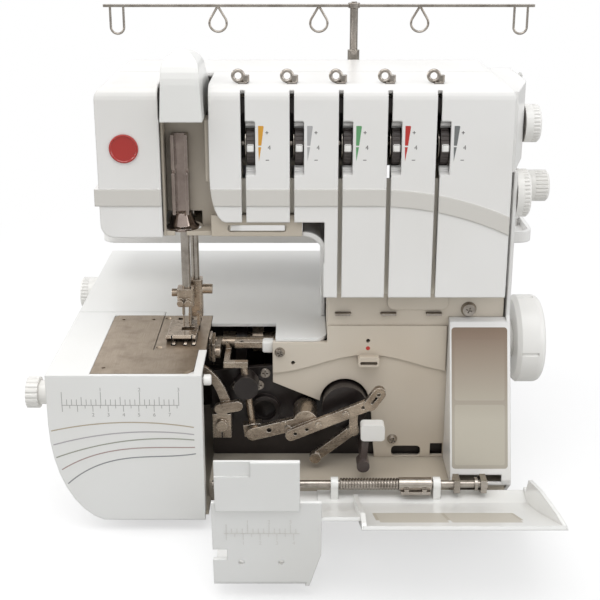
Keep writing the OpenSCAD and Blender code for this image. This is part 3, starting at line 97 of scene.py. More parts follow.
def step(tree, kind, sockets=None, **settings):
    """One shader node with its settings and what feeds it."""
    node = tree.nodes.new("ShaderNode" + kind)
    for key, value in settings.items():
        setattr(node, key, value)
    return feed(tree, node, sockets or {})


def sums(tree, operation, a, b):
    """Works out one value from two and returns its socket."""
    return step(tree, "Math", {0: a, 1: b}, operation=operation).outputs[0]


def blend(tree, amount, a, b):
    """Mixes two colours and returns the colour socket."""
    return step(tree, "Mix", {0: amount, 6: a, 7: b}, data_type="RGBA").outputs[2]


def spread(tree, value, low, high, to_low, to_high):
    """Takes a value that runs from low to high to the new range, and no further."""
    return step(tree, "MapRange", {"Value": value, "From Min": low, "From Max": high,
                                   "To Min": to_low, "To Max": to_high}).outputs["Result"]


def noise(tree, place, scale, detail, roughness=0.5):
    """Cloudy noise from 0 to 1, with so many clouds to the metre."""
    return step(tree, "TexNoise", {"Vector": place, "Scale": scale, "Detail": detail,
                                   "Roughness": roughness}).outputs["Fac"]


def own_place(tree):
    """The place on the piece itself, which travels with it."""
    return step(tree, "TexCoord").outputs["Object"]


def build_soft_edges():
    """Rounds the moulded edges in the light and finds them for wear and for painted edge
    highlights.
    """
    tree, entry, exit_ = effect("soft_edges", [("Radius", "Float", 0.0006)],
                                [("Normal", "Vector"), ("Edge", "Float")])
    bevel = step(tree, "Bevel", {"Radius": entry.outputs["Radius"]}, samples=6)
    flat = step(tree, "NewGeometry")
    dot = step(tree, "VectorMath", {0: bevel.outputs["Normal"], 1: flat.outputs["Normal"]},
               operation="DOT_PRODUCT")
    edge = spread(tree, dot.outputs["Value"], 0.995, 0.82, 0.0, 1.0)
    feed(tree, exit_, {"Normal": bevel.outputs["Normal"], "Edge": edge})
    return tree


def build_moulded_skin():
    """Injection-moulded plastic: faint flow shading, fine grain and uneven polish."""
    tree, entry, exit_ = effect(
        "moulded_skin",
        [("Colour", "Color", (0.8, 0.8, 0.8, 1)), ("Shade", "Color", (0.7, 0.7, 0.68, 1)),
         ("Grain", "Float", 1600.0), ("Polish", "Float", 0.3)],
        [("Colour", "Color"), ("Roughness", "Float"), ("Height", "Float")])
    place = own_place(tree)
    flow = noise(tree, place, 11.0, 2.0, 0.45)
    smear = noise(tree, place, 95.0, 3.0, 0.6)
    grain = noise(tree, place, entry.outputs["Grain"], 1.0)
    wash = spread(tree, flow, 0.35, 0.7, 0.0, 0.7)
    colour = blend(tree, wash, entry.outputs["Colour"], entry.outputs["Shade"])
    change = spread(tree, smear, 0.3, 0.75, -0.01, 0.02)
    rough = sums(tree, "ADD", entry.outputs["Polish"], change)
    feed(tree, exit_, {"Colour": colour, "Roughness": rough, "Height": grain})
    return tree


def build_worked_metal():
    """Ground, drawn or brushed metal: streaks in one direction over a slow change of tone; on the
    chrome, the darker streaks and patches are painted reflections.
    """
    tree, entry, exit_ = effect(
        "worked_metal_and_reflections",
        [("Colour", "Color", (0.6, 0.58, 0.55, 1)), ("Shade", "Color", (0.35, 0.33, 0.3, 1)),
         ("Streaks", "Vector", (60.0, 60.0, 1400.0)), ("Polish", "Float", 0.25)],
        [("Colour", "Color"), ("Roughness", "Float"), ("Height", "Float")])
    place = own_place(tree)
    along = step(tree, "VectorMath", {0: place, 1: entry.outputs["Streaks"]}, operation="MULTIPLY")
    streak = noise(tree, along.outputs[0], 1.0, 2.0, 0.55)
    tone = noise(tree, place, 70.0, 4.0, 0.65)
    darker = spread(tree, tone, 0.38, 0.68, 0.0, 0.75)
    lined = spread(tree, streak, 0.3, 0.75, 0.0, 0.35)
    both = sums(tree, "MAXIMUM", darker, lined)
    colour = blend(tree, both, entry.outputs["Colour"], entry.outputs["Shade"])
    change = spread(tree, streak, 0.3, 0.7, -0.05, 0.12)
    rough = sums(tree, "ADD", entry.outputs["Polish"], change)
    feed(tree, exit_, {"Colour": colour, "Roughness": rough, "Height": streak})
    return tree


def build_corner_dust():
    """Painted shade in corners and seams, placed by ambient occlusion and broken up by noise, with
    fine dust and oil.
    """
    tree, entry, exit_ = effect(
        "corner_shade_and_dust",
        [("Colour", "Color", (0.8, 0.8, 0.8, 1)), ("Shade And Dust", "Color", (0.3, 0.27, 0.24, 1)),
         ("Amount", "Float", 0.4), ("Reach", "Float", 0.004)],
        [("Colour", "Color")])
    shade = step(tree, "AmbientOcclusion", {"Distance": entry.outputs["Reach"]}, samples=6)
    patchy = noise(tree, own_place(tree), 140.0, 3.0)
    shaded_corner = spread(tree, shade.outputs["AO"], 0.75, 0.2, 0.0, 1.0)
    broken = spread(tree, patchy, 0.25, 0.65, 0.7, 1.0)
    amount = sums(tree, "MULTIPLY", sums(tree, "MULTIPLY", shaded_corner, broken), entry.outputs["Amount"])
    colour = blend(tree, amount, entry.outputs["Colour"], entry.outputs["Shade And Dust"])
    feed(tree, exit_, {"Colour": colour})
    return tree


soft_edges = build_soft_edges()
moulded_skin = build_moulded_skin()
worked_metal_and_reflections = build_worked_metal()
corner_shade_and_dust = build_corner_dust()


# ------------------------------------------------------------------ finishes

BUMP_STRENGTH = 0.6


def place_effect(tree, group, sockets):
    """Puts a shared effect into a material."""
    node = tree.nodes.new("ShaderNodeGroup")
    node.node_tree = group
    return feed(tree, node, sockets)


def finish(name, skin, colour, shade, polish, radius=0.0, grain=None, height=0.0, dust=None,
           wear_and_edge_highlight=None, **shader):
    """A finish made of one skin, rounded edges, painted shade with dust in the corners, and worn
    edges.

    dust is the colour, share and reach of the painted corner shade with dust, and
    wear_and_edge_highlight is the colour and share of a rubbed edge, which on the steels is a
    painted highlight. The rest goes to the shader's own sockets, with _ for a space.
    """
    made = bpy.data.materials.new(name)
    made.use_nodes = True
    tree = made.node_tree
    body = tree.nodes["Principled BSDF"]
    sockets = {"Colour": tint(colour), "Shade": tint(shade), "Polish": polish}
    if grain is not None:
        sockets["Grain" if skin is moulded_skin else "Streaks"] = grain
    surface = place_effect(tree, skin, sockets)
    paint = surface.outputs["Colour"]
    if dust:
        shade_dust_colour, share, reach = dust
        corners = place_effect(tree, corner_shade_and_dust, {
            "Colour": paint, "Shade And Dust": tint(shade_dust_colour), "Amount": share, "Reach": reach})
        paint = corners.outputs["Colour"]
    normal = None
    if radius:
        edges = place_effect(tree, soft_edges, {"Radius": radius})
        normal = edges.outputs["Normal"]
        if wear_and_edge_highlight:
            wear_highlight_colour, share = wear_and_edge_highlight
            amount = sums(tree, "MULTIPLY", edges.outputs["Edge"], share)
            paint = blend(tree, amount, paint, tint(wear_highlight_colour))
    if height:
        bump = step(tree, "Bump", {"Height": surface.outputs["Height"], "Distance": height,
                                   "Strength": BUMP_STRENGTH})
        if normal is not None:
            tree.links.new(normal, bump.inputs["Normal"])
        normal = bump.outputs["Normal"]
    if normal is not None:
        tree.links.new(normal, body.inputs["Normal"])
    feed(tree, body, {"Base Color": paint, "Roughness": surface.outputs["Roughness"]})
    feed(tree, body, {key.replace("_", " "): value for key, value in shader.items()})
    return made


SATIN = {"Coat_Weight": 0.2, "Coat_Roughness": 0.15}
# The corner colour in these finishes darkens corners and seams found by ambient occlusion: painted
# shade, with a little dust.
CASING = {"height": 0.000003, "dust": ("9a9186", 0.35, 0.003)}
KNOB = {"radius": 0.0007, "height": 0.00001, "dust": ("7d746a", 0.5, 0.003), **SATIN}

gloss_white = finish("gloss_white_plastic", moulded_skin, "e6e6e4", "e0dfdb", 0.29, radius=0.0011,
                     Coat_Weight=0.25, Coat_Roughness=0.12, **CASING)
shell_white = finish("shell_white_plastic", moulded_skin, "e6e5e3", "dddbd7", 0.3, radius=0.0014,
                     **CASING, **SATIN)
head_white = finish("head_white_plastic", moulded_skin, "e6e5e3", "dddbd7", 0.3, radius=0.0014,
                    **CASING, **SATIN)
knob_white = finish("knob_white_plastic", moulded_skin, "ebeae7", "dfdcd6", 0.29, **KNOB)
lever_white = finish("lever_white_plastic", moulded_skin, "e2e1de", "d6d3cd", 0.29, **KNOB)
# Both beige finishes below darken their corners and recesses strongly, 8 to 10 mm deep: painted
# shade, with some dust.
panel_beige = finish("panel_beige_plastic", moulded_skin, "d2c9bb", "beb09d", 0.42, radius=0.0008,
                     grain=1100.0, height=0.00003, dust=("6d5f52", 0.6, 0.008))
frame_beige = finish("frame_beige_plastic", moulded_skin, "c6bdaf", "b0a594", 0.45, radius=0.0006,
                     grain=1100.0, height=0.00003, dust=("4f453c", 0.7, 0.01))
pin_grey = finish("pin_grey_plastic", moulded_skin, "c9c9c6", "bdbcb7", 0.4, radius=0.0005,
                  height=0.00001, dust=("7d746a", 0.5, 0.004))
dial_charcoal = finish("dial_charcoal_plastic", moulded_skin, "4b4340", "362f2d", 0.36,
                       radius=0.0003, grain=1500.0, height=0.00003, wear_and_edge_highlight=("6a6460", 0.6))
# Its near-black corners, 12 mm deep, are painted shade with some oil.
oiled_casting = finish("oiled_dark_casting", moulded_skin, "2e2725", "1d1918", 0.34, radius=0.0005,
                       grain=700.0, height=0.0002, dust=("0e0b0a", 0.75, 0.012),
                       wear_and_edge_highlight=("6d6157", 0.4), Metallic=0.35, Coat_Weight=0.25, Coat_Roughness=0.2)
# Its near-white edge colour is a painted highlight with a little wear, and its dark corners are
# painted shade.
warm_steel = finish("warm_ground_steel", worked_metal_and_reflections, "b9aa99", "75675a", 0.25, radius=0.0005,
                    grain=(220.0, 220.0, 1500.0), height=0.00002, dust=("221b18", 0.75, 0.005),
                    wear_and_edge_highlight=("f2ebe0", 0.8), Metallic=0.9)
plate_steel = finish("brushed_plate_steel", worked_metal_and_reflections, "b3a493", "8f806e", 0.34, radius=0.0003,
                     grain=(2600.0, 60.0, 200.0), height=0.00002, dust=("54493f", 0.5, 0.002),
                     Metallic=0.92)
# Its dull colour and the darker streaks and patches of its shade are painted dark reflections.
bright_chrome = finish("bright_chrome", worked_metal_and_reflections, "b5aea6", "7f766c", 0.14, radius=0.0004,
                       grain=(300.0, 300.0, 900.0), dust=("3d362f", 0.55, 0.003), Metallic=1.0)
# Its dull colour and darker streaks are painted dark reflections, and its near-white edges a
# painted highlight.
guide_steel = finish("polished_guide_steel", worked_metal_and_reflections, "a5978f", "7a6c66", 0.12, radius=0.0004,
                     grain=(900.0, 300.0, 60.0), dust=("3d362f", 0.4, 0.002),
                     wear_and_edge_highlight=("efe9e0", 0.8), Metallic=1.0)
motor_steel = finish("motor_painted_steel", worked_metal_and_reflections, "4a4746", "343130", 0.42, radius=0.0006,
                     grain=(900.0, 200.0, 200.0), height=0.00002, Metallic=0.6)
black_rubber = finish("black_rubber", moulded_skin, "262423", "1a1818", 0.6, radius=0.0005,
                      grain=900.0, height=0.00005)
badge_red = finish("badge_red_enamel", moulded_skin, "b0271f", "9c2019", 0.22, radius=0.0003,
                   Coat_Weight=0.6, Coat_Roughness=0.08)
slot_channel = finish("slot_channel_plastic", moulded_skin, "453d3a", "332d2a", 0.45,
                      radius=0.0004, grain=900.0, height=0.00003)
lamp_cover = finish("lamp_cover_plastic", moulded_skin, "efeadd", "e4dccb", 0.45, radius=0.0005,
                    grain=900.0, height=0.00002, Transmission_Weight=0.15)


def repaint(made, axis, low, high, colour, share=1.0):
    """Paints another colour over a finish, from none at low to the full share at high."""
    tree = made.node_tree
    body = tree.nodes["Principled BSDF"]
    place = step(tree, "SeparateXYZ", {0: own_place(tree)}).outputs[axis]
    mask = spread(tree, place, low, high, 0.0, share)
    paint = body.inputs["Base Color"].links[0].from_socket
    tree.links.new(blend(tree, mask, paint, tint(colour)), body.inputs["Base Color"])


# grey band of the head, which stands a little proud of its face
repaint(head_white, "Y", FRONT + 44.75 * MM, FRONT + 44.65 * MM, "cecbc5")
# the channel behind the thread slots is pale below the tension discs
repaint(slot_channel, "Z", 0.241, 0.237, "dcd6ca")
# the lever's stem is dark steel below its white button
repaint(lever_white, "Z", 0.0526, 0.0522, "4b413d")

finishes = {
    gloss_white: ["bed_cover", "left_cover", "front_cover", "needle_bar_hood"],
    shell_white: ["rear_cover", "right_side_cover", "spool_stand"],
    head_white: ["face_cover"],
    knob_white: ["cover_latch", "cutting_width_knob", "stitch_length_dial",
                 "differential_feed_dial", "presser_pressure_knob", "stitch_width_dial",
                 "handwheel"],
    lever_white: ["threading_lever"],
    panel_beige: ["inner_panel"],
    frame_beige: ["base_tray", "arm_frame"],
    pin_grey: ["spool_pins"],
    dial_charcoal: ["tension_dial_%d" % (k + 1) for k in range(THREADS)] + ["presser_lifter"],
    oiled_casting: ["mechanism_casting"],
    slot_channel: ["tension_bracket"],
    warm_steel: ["upper_looper", "lower_looper", "looper_take_up", "upper_knife", "lower_knife",
                 "main_feed_dog", "differential_feed_dog", "needle_clamp", "main_shaft",
                 "motor_pulley", "presser_foot"],
    plate_steel: ["cloth_plate", "needle_plate"],
    bright_chrome: ["needle_bar", "presser_bar", "needles", "hinge_rod", "cover_slide",
                    "thread_guides", "tension_discs", "panel_screws", "antenna_tube",
                    "antenna_rod", "guide_bar"],
    guide_steel: ["needle_bar_guide"],
    motor_steel: ["motor"],
    black_rubber: ["rubber_feet", "drive_belt", "power_inlet", "power_switch"],
    badge_red: ["badge"],
    lamp_cover: ["work_lamp"],
}
for made, names in finishes.items():
    for name in names:
        slots = solids[name].material_slots
        if not slots:
            solids[name].data.materials.append(made)
        for slot in slots:
            slot.material = made


# ------------------------------------------------------------------ printed marks and small trim

INK = 0.06  # how far printed ink stands proud
SINK = 0.04  # how far a mark reaches into the face that it lies on
FIGURE_LIFT = 0.03
TYPE_SIZE = 1.4  # type size for a figure one unit high


def flat_paint(name, colour, polish=0.35):
    """Pad-printed ink or foil: one colour, a little uneven in polish."""
    return finish(name, moulded_skin, colour, colour, polish, grain=2500.0)


ink_grey = flat_paint("ink_grey", "a7a5a3")
ink_dark = flat_paint("ink_dark", "6b6866")
thread_inks = [flat_paint("ink_" + name, code) for name, code in (
    ("yellow", "d39a35"), ("silver", "a9a8a8"), ("green", "5f9a68"), ("red", "b5302a"),
    ("slate", "6f7271"))]
arc_inks = [flat_paint("arc_" + name, code) for name, code in (
    ("tan", "b0a48f"), ("mauve", "ada8ab"), ("olive", "989a8d"), ("brown", "a8948f"),
    ("slate", "8b8d8e"))]


def put(name, data):
    """An object with that data, in the scene."""
    new = bpy.data.objects.new(name, data)
    bpy.context.scene.collection.objects.link(new)
    return new


def piece(name, mesh, made, body):
    """Puts a mesh in the scene with its finish, on its body."""
    new = put(name, mesh)
    mesh.materials.append(made)
    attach(new, body)
    return new


def settle(shape, name):
    """Turns a finished shape into a mesh."""
    mesh = bpy.data.meshes.new(name)
    shape.to_mesh(mesh)
    shape.free()
    return mesh


def final_mesh(held):
    """The mesh that an object comes to with its modifiers, curve or type."""
    return bpy.data.meshes.new_from_object(
        held.evaluated_get(bpy.context.evaluated_depsgraph_get()))


def close_sides(shape, first, second):
    """Joins two loops of points with four-sided faces."""
    for i in range(len(first)):
        j = (i + 1) % len(first)
        shape.faces.new((first[i], first[j], second[j], second[i]))


def raised(name, outlines, place, thick, made, body):
    """Thin plates or ink: place(u, v, h) turns each closed outline into a slab that thick."""
    shape = bmesh.new()
    for outline in outlines:
        top = [shape.verts.new(place(u, v, thick)) for u, v in outline]
        low = [shape.verts.new(place(u, v, -SINK)) for u, v in outline]
        shape.faces.new(top)
        shape.faces.new(low[::-1])
        close_sides(shape, low, top)
    bmesh.ops.recalc_face_normals(shape, faces=shape.faces)
    return piece(name, settle(shape, name), made, body)


def numerals(name, marks, place, height, made, body):
    """Plain numbers: marks are (number, u, v) with v at the foot of the figure."""
    shape = bmesh.new()
    for number, u, v in marks:
        curve = bpy.data.curves.new("figure", "FONT")
        curve.body, curve.align_x, curve.size = str(number), "CENTER", height * TYPE_SIZE
        curve.extrude = SINK
        figure = put("figure", curve)
        mesh = final_mesh(figure)
        for corner in mesh.vertices:
            corner.co = place(u + corner.co.x, v + corner.co.y, corner.co.z + FIGURE_LIFT)
        shape.from_mesh(mesh)
        bpy.data.objects.remove(figure)
    return piece(name, settle(shape, name), made, body)


def box_outline(u0, u1, v0, v1):
    return [(u0, v0), (u1, v0), (u1, v1), (u0, v1)]


def rounded_outline(u0, u1, v0, v1, r, n=6):
    """A rectangle with round corners of n steps each."""
    corners = ((u1 - r, v1 - r, 0), (u0 + r, v1 - r, 90), (u0 + r, v0 + r, 180),
               (u1 - r, v0 + r, 270))
    turns = [(u, v, math.radians(a + t * 90 / n)) for u, v, a in corners for t in range(n + 1)]
    return [(u + r * math.cos(turn), v + r * math.sin(turn)) for u, v, turn in turns]


def ring(u, v, r, n=18):
    return [(u + r * math.cos(math.tau * k / n), v + r * math.sin(math.tau * k / n))
            for k in range(n)]


def curve_through(points, n=28):
    """Places along the one smooth curve that passes through three or four points."""
    start, end = points[0][0], points[-1][0]
    out = []
    for k in range(n + 1):
        x = start + (end - start) * k / n
        z = 0.0
        for i, (xi, zi) in enumerate(points):
            share = 1.0
            for j, (xj, _) in enumerate(points):
                if j != i:
                    share *= (x - xj) / (xi - xj)
            z += zi * share
        out.append((x, z))
    return out


def strip_outline(points, width):
    """A line of that width drawn along the points."""
    left, right = [], []
    for i, (u, v) in enumerate(points):
        a, b = points[max(i - 1, 0)], points[min(i + 1, len(points) - 1)]
        du, dv = b[0] - a[0], b[1] - a[1]
        size = math.hypot(du, dv) or 1.0
        nu, nv = -dv / size * width / 2, du / size * width / 2
        left.append((u + nu, v + nv))
        right.append((u - nu, v - nv))
    return left + right[::-1]


def rule_ticks(start, foot, pitch, lengths, half):
    """Lines across a rule, one for each length; a line below the rule has a length below 0."""
    out = []
    for k, length in enumerate(lengths):
        x = start + k * pitch
        out.append(box_outline(x - half, x + half, *sorted((foot, foot + length))))
    return out


def on_left_cover(u, v, h):
    return at(u, -h, v)


def on_head(u, v, h):
    return at(u, HEAD_D - h, v)


# seam guide rule on the left cover: inches above the line, centimetres below it
RULE_X, RULE_Z = -154.0, 94.0
eighths = [9.5 if k % 8 == 0 else 6.0 if k % 4 == 0 else 4.2 for k in range(25)]
halves = [-4.6 if k % 2 == 0 else -2.2 for k in range(16)]
raised("rule_lines",
       [box_outline(RULE_X - 0.25, RULE_X + 3 * INCH + 0.25, RULE_Z - 0.2, RULE_Z + 0.2)] +
       rule_ticks(RULE_X, RULE_Z, INCH / 8, eighths, 0.2) +
       rule_ticks(RULE_X, RULE_Z, 5, halves, 0.2),
       on_left_cover, INK, ink_grey, "left_cover")
numerals("rule_numbers",
         [(k, RULE_X + k * INCH, RULE_Z + 10) for k in (1, 2, 3)] +
         [(k, RULE_X + k * 10, RULE_Z - 8) for k in range(2, 8)],
         on_left_cover, 2.6, ink_grey, "left_cover")

# five thread-coloured curves below the rule
ARC_WIDTH = 0.8
arc_points = [
    [(-162.4, 75.4), (-114.8, 81.6), (-68.4, 78.0)],
    [(-161.6, 65.2), (-104.0, 74.7), (-68.4, 72.8)],
    [(-160.2, 55.9), (-113.5, 68.1), (-68.4, 68.8)],
    [(-157.0, 46.9), (-129.1, 59.3), (-97.9, 63.2), (-68.1, 63.4)],
    [(-153.6, 36.4), (-129.6, 51.4), (-102.8, 56.3), (-67.6, 58.7)]]
for k, points in enumerate(arc_points):
    raised("thread_curve_%d" % (k + 1), [strip_outline(curve_through(points), ARC_WIDTH)],
           on_left_cover, INK, arc_inks[k], "left_cover")

# coloured tension scale right of each slot, with plus, minus and the middle setting
for k, x in enumerate(SLOTS):
    raised("tension_scale_%d" % (k + 1), [
        [(x + 9.9, 270.0), (x + 9.9, 257.0), (x + 11.9, 257.0), (x + 13.5, 269.5),
         (x + 13.0, 270.0)],
        [(x + 9.9, 256.0), (x + 10.2, 246.5), (x + 11.8, 256.0)]],
        on_head, INK, thread_inks[k], "frame")
    raised("tension_signs_%d" % (k + 1), [
        box_outline(x + 14.6, x + 16.6, 265.3, 265.8),
        box_outline(x + 15.35, x + 15.85, 264.5, 266.6),
        box_outline(x + 14.6, x + 16.8, 247.1, 247.6)],
        on_head, INK, ink_dark, "frame")
numerals("tension_numbers", [(4, x + 17.0, 254.3) for x in SLOTS], on_head, 3.0, ink_dark,
         "frame")


def rounded_block(name, low, high, r, made, body):
    """A small moulded block with soft edges."""
    shape = bmesh.new()
    bmesh.ops.create_cube(shape, size=1.0)
    for corner in shape.verts:
        corner.co = Vector([(low[i] + high[i]) / 2 + corner.co[i] * (high[i] - low[i])
                            for i in range(3)])
    bmesh.ops.bevel(shape, geom=shape.edges[:], offset=r, segments=3, profile=0.5,
                    affect="EDGES")
    for corner in shape.verts:
        corner.co = at(*corner.co)
    mesh = settle(shape, name)
    for face in mesh.polygons:
        face.use_smooth = True
    return piece(name, mesh, made, body)


# white pointer caps on the tension dials
for k, x in enumerate(SLOTS):
    rounded_block("pointer_cap_%d" % (k + 1), (x + 2.4, 44.75, WINDOW_Z - 2.45),
                  (x + 7.0, 48.8, WINDOW_Z + 2.45), 0.7, knob_white, "dial_%d" % (k + 1))


def on_label_panel(u, v, h):
    """u to the right, v up the slope of the panel that wraps the right front corner."""
    run, rise = 0.3108, 0.9505
    return at(u, 22 + run * v - rise * h, 26 + rise * v + run * h)


def open_cover(x, d, z):
    """A place on the front cover, given as it stands when closed, where the open cover rests."""
    turn = math.radians(COVER_ANGLE)
    a, b = d - HINGE_D, z - HINGE_Z
    return at(x + COVER_SHIFT, HINGE_D + a * math.cos(turn) - b * math.sin(turn),
              HINGE_Z + a * math.sin(turn) + b * math.cos(turn))


def on_cover_shelf(u, v, h):
    """Top of the closed cover's shelf; v runs from its front edge to the rear."""
    return open_cover(u, v, SHELF_TOP + h)


def on_cover_slope(u, v, h):
    """Inner face of the cover's slanted right part; v runs up the slope from its lower bend."""
    run, rise = 0.525, 0.851
    return open_cover(u, 14.5 + run * v + rise * h, 68 + rise * v - run * h)


label_foil = flat_paint("label_foil", "aaa396", 0.4)
label_field = flat_paint("label_field", "b6b0a2", 0.42)
for made in (label_foil, label_field):
    repaint(made, "Z", 0.065, 0.125, "7f6a59", 0.95)
tray_foil = flat_paint("tray_foil", "aca495", 0.42)
tray_field = flat_paint("tray_field", "b9b3a7", 0.42)

# bare threading labels: plain foil with two empty fields
FOIL, FIELD = 0.12, 0.17
raised("side_label", [rounded_outline(106.2, 144.8, 8, 105.5, 2.2)],
       on_label_panel, FOIL, label_foil, "frame")
raised("side_label_fields",
       [rounded_outline(108.2, 142.8, 10.5, 52, 1.6), rounded_outline(108.2, 142.8, 55, 97, 1.6)],
       on_label_panel, FIELD, label_field, "frame")
raised("cover_label", [rounded_outline(37, 126, 10, 55, 1.6)],
       on_cover_slope, FOIL, tray_foil, "front_cover")
raised("cover_label_fields",
       [rounded_outline(39, 80, 12, 53, 1.2), rounded_outline(82, 124, 12, 53, 1.2)],
       on_cover_slope, FIELD, tray_field, "front_cover")

# The moulded marks are the cover's own white plastic; their darker colour is painted shade of the
# relief.
relief_shade_mark = flat_paint("relief_shade_mark", "d9d7d3")

# moulded rule on the cover's shelf: half inches above the line, centimetres below it
SHELF_RULE_X, SHELF_RULE_D = -52.5, 36
eighths = [6.5 if k % 4 == 0 else 3.4 for k in range(14)]
halves = [-5 if k % 2 == 0 else -2.6 for k in range(9)]
raised("cover_rule",
       [box_outline(-54, -9, SHELF_RULE_D - 0.15, SHELF_RULE_D + 0.15)] +
       rule_ticks(SHELF_RULE_X, SHELF_RULE_D, INCH / 8, eighths, 0.15) +
       rule_ticks(SHELF_RULE_X, SHELF_RULE_D, 5, halves, 0.15),
       on_cover_shelf, 0.3, relief_shade_mark, "front_cover")
numerals("cover_rule_numbers",
         [(k, SHELF_RULE_X + k * INCH / 2, 43.2) for k in (1, 2, 3)] +
         [(k, SHELF_RULE_X + k * 10, 27.5) for k in (1, 2, 3, 4)],
         on_cover_shelf, 2.6, relief_shade_mark, "front_cover")

PANEL_D = 60.5  # front face of the inner panel
raised("red_thread_dot", [ring(49, 108.2, 1.5)], lambda u, v, h: at(u, PANEL_D - h, v), 0.1,
       thread_inks[3], "frame")


# ------------------------------------------------------------------ forms beyond the solids

def prism(outline, axis, low, high):
    """A solid drawn along an axis: outlines are (d, z) along x, (x, z) along d, (x, d) along z."""
    order = {"x": lambda u, v, h: (h, u, v), "d": lambda u, v, h: (u, h, v),
             "z": lambda u, v, h: (u, v, h)}[axis]
    shape = bmesh.new()
    ends = [[shape.verts.new(order(u, v, h)) for u, v in outline] for h in (low, high)]
    for end in ends:
        shape.faces.new(end)
    close_sides(shape, *ends)
    bmesh.ops.recalc_face_normals(shape, faces=shape.faces)
    return settle(shape, "prism")


def joined(*prism_terms):
    return "UNION", prism(*prism_terms)


def cut(*prism_terms):
    return "DIFFERENCE", prism(*prism_terms)


def carved(name, steps, place, made, body):
    """Works through the steps, each a prism that is joined or cut, and sets the form in place."""
    parts = [put("part", mesh) for _, mesh in steps]
    for (way, _), part in list(zip(steps, parts))[1:]:
        change = parts[0].modifiers.new(way, "BOOLEAN")
        change.operation, change.object, change.solver = way, part, "EXACT"
    bpy.context.view_layer.update()
    mesh = final_mesh(parts[0])
    for corner in mesh.vertices:
        corner.co = place(*corner.co)
    for part in parts:
        bpy.data.objects.remove(part)
    mesh.name = name
    return piece(name, mesh, made, body)


def build_front_cover():
    """The looper cover as it stands closed, then set down open.

    It has a front wall, a shelf with its block, a slanted panel with a lower left end, and
    hinge lugs.
    """
    wall, low, fold, left, right = 2.5, 27.0, 4.0, -61.0, 146.4
    (top_d, top_z), (end_d, end_z) = (49.0, 128.0), (45.0, 115.0)
    lip = [(-3, low), (-3, 40), (12, 68)]
    back = [(14.5, 68), (-0.5, 41), (-0.5, low)]
    # front wall and shelf, with the shelf's slanted right end, its notch and its screw holes
    steps = [
        joined([(-4, low), (-4, 112), (-3.1, 114.1), (-1, SHELF_TOP), (58, SHELF_TOP),
                (58, 112.5), (-1, 112.5), (-1.5, 110.5), (-1.5, low)], "x", left, fold),
        cut([(fold, 20), (fold - 7, -4.1), (fold - 7, -6), (fold + 2, -6), (fold + 2, 20)],
            "z", 60, 117),
        cut([(left - 1, 16), (left + 8.5, 16), (left + 8.5, 24), (left - 1, 24)], "z", 110, 117)]
    for x in (left + 17, left + 41):
        steps.append(cut(ring(x, 14, 1.8), "z", 110, 117))
    # block over the cut-out of the bed, with a step at its corner
    steps += [
        joined([(54, 114), (58, 114), (58, 115.4), (89, 115.4), (89, 117.4), (88.5, 117.9),
                (54.5, 117.9), (54, 117.4)], "x", -58.5, -8.8),
        cut([(79, 116.9), (91, 116.9), (91, 119), (79, 119)], "x", -59.5, -37.5)]
    # slanted web that closes the fold
    steps.append(joined([(fold, 34), (fold, 20), (fold - 7, -4), (fold - 7 - wall, -4),
                         (fold - wall, 20), (fold - wall, 34)], "z", 84, 115))
    # slanted panel, full height and then lower
    for x0, x1, (d, z) in ((fold + 24, right - 1, (top_d, top_z)),
                           (fold - 1, fold + 24.5, (end_d, end_z))):
        steps.append(joined(lip + [(d, z), (d + 2, z - 1.2)] + back, "x", x0, x1))
    # ribs at the panel's left end, right end and step
    steps += [
        joined([(-2, 42), (12, 68), (40, 108), (41.6, 106.6), (14.5, 68), (0, 42)],
               "x", fold - 8, fold),
        joined(lip + [(top_d, top_z), (top_d + 0.6, top_z - 3), (top_d - 4, top_z - 19),
                      (30, 68), (16, 38), (2, 33), (2, low)], "x", right - wall, right),
        joined([(-1, 42), (12.5, 68), (top_d, top_z), (top_d + 2, top_z - 4),
                (end_d + 3, end_z - 4), (21, 68), (6, 40)], "x", fold + 23, fold + 26)]
    # hinge lugs round the rod
    for x in (-44, 12, 81):
        steps += [
            joined(ring(HINGE_D, HINGE_Z, 4.75, 28), "x", x, x + 5),
            joined([(-2, low), (8, 26.9), (8, 36.1), (-2, 37.5)], "x", x, x + 5),
            cut(ring(HINGE_D, HINGE_Z, 2.6, 28), "x", x - 1, x + 6)]
    cover = carved("front_cover_moulding", steps, open_cover, gloss_white, "front_cover")
    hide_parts("front_cover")


build_front_cover()

# dark wall with three ribs behind the main shaft: painted shade inside the machine, in the
# casting's finish
wall_ribs = [joined([(x, 22), (x + 3, 22), (x + 3, 106), (x, 106)], "d", 141, 146.5)
             for x in (-70, -30, 10)]
carved("rear_shade_wall",
       [joined([(-92, 22), (24, 22), (24, 106), (18, 110), (-86, 110), (-92, 104)],
               "d", 146, 149)] + wall_ribs,
       at, oiled_casting, "frame")

# screws of the looper casting, with crossed recesses
for k, (x, z) in enumerate(((-23.6, 86.6), (-28.1, 77.3), (-44.6, 76.6))):
    long, narrow = 2.2, 0.45
    carved("casting_screw_%d" % (k + 1), [
        joined(ring(x, z, 3.7, 28), "d", 65.6, 67.2),
        joined(ring(x, z, 3.2, 28), "d", 65.0, 66.0),
        cut(box_outline(x - long, x + long, z - narrow, z + narrow), "d", 64, 65.9),
        cut(box_outline(x - narrow, x + narrow, z - long, z + long), "d", 64, 65.9)],
        at, bright_chrome, "frame")

rounded_block("knife_release_knob", (-25.4, 64.2, 102.7), (-17.2, 72.8, 111.3), 1.4, knob_white,
              "upper_knife")

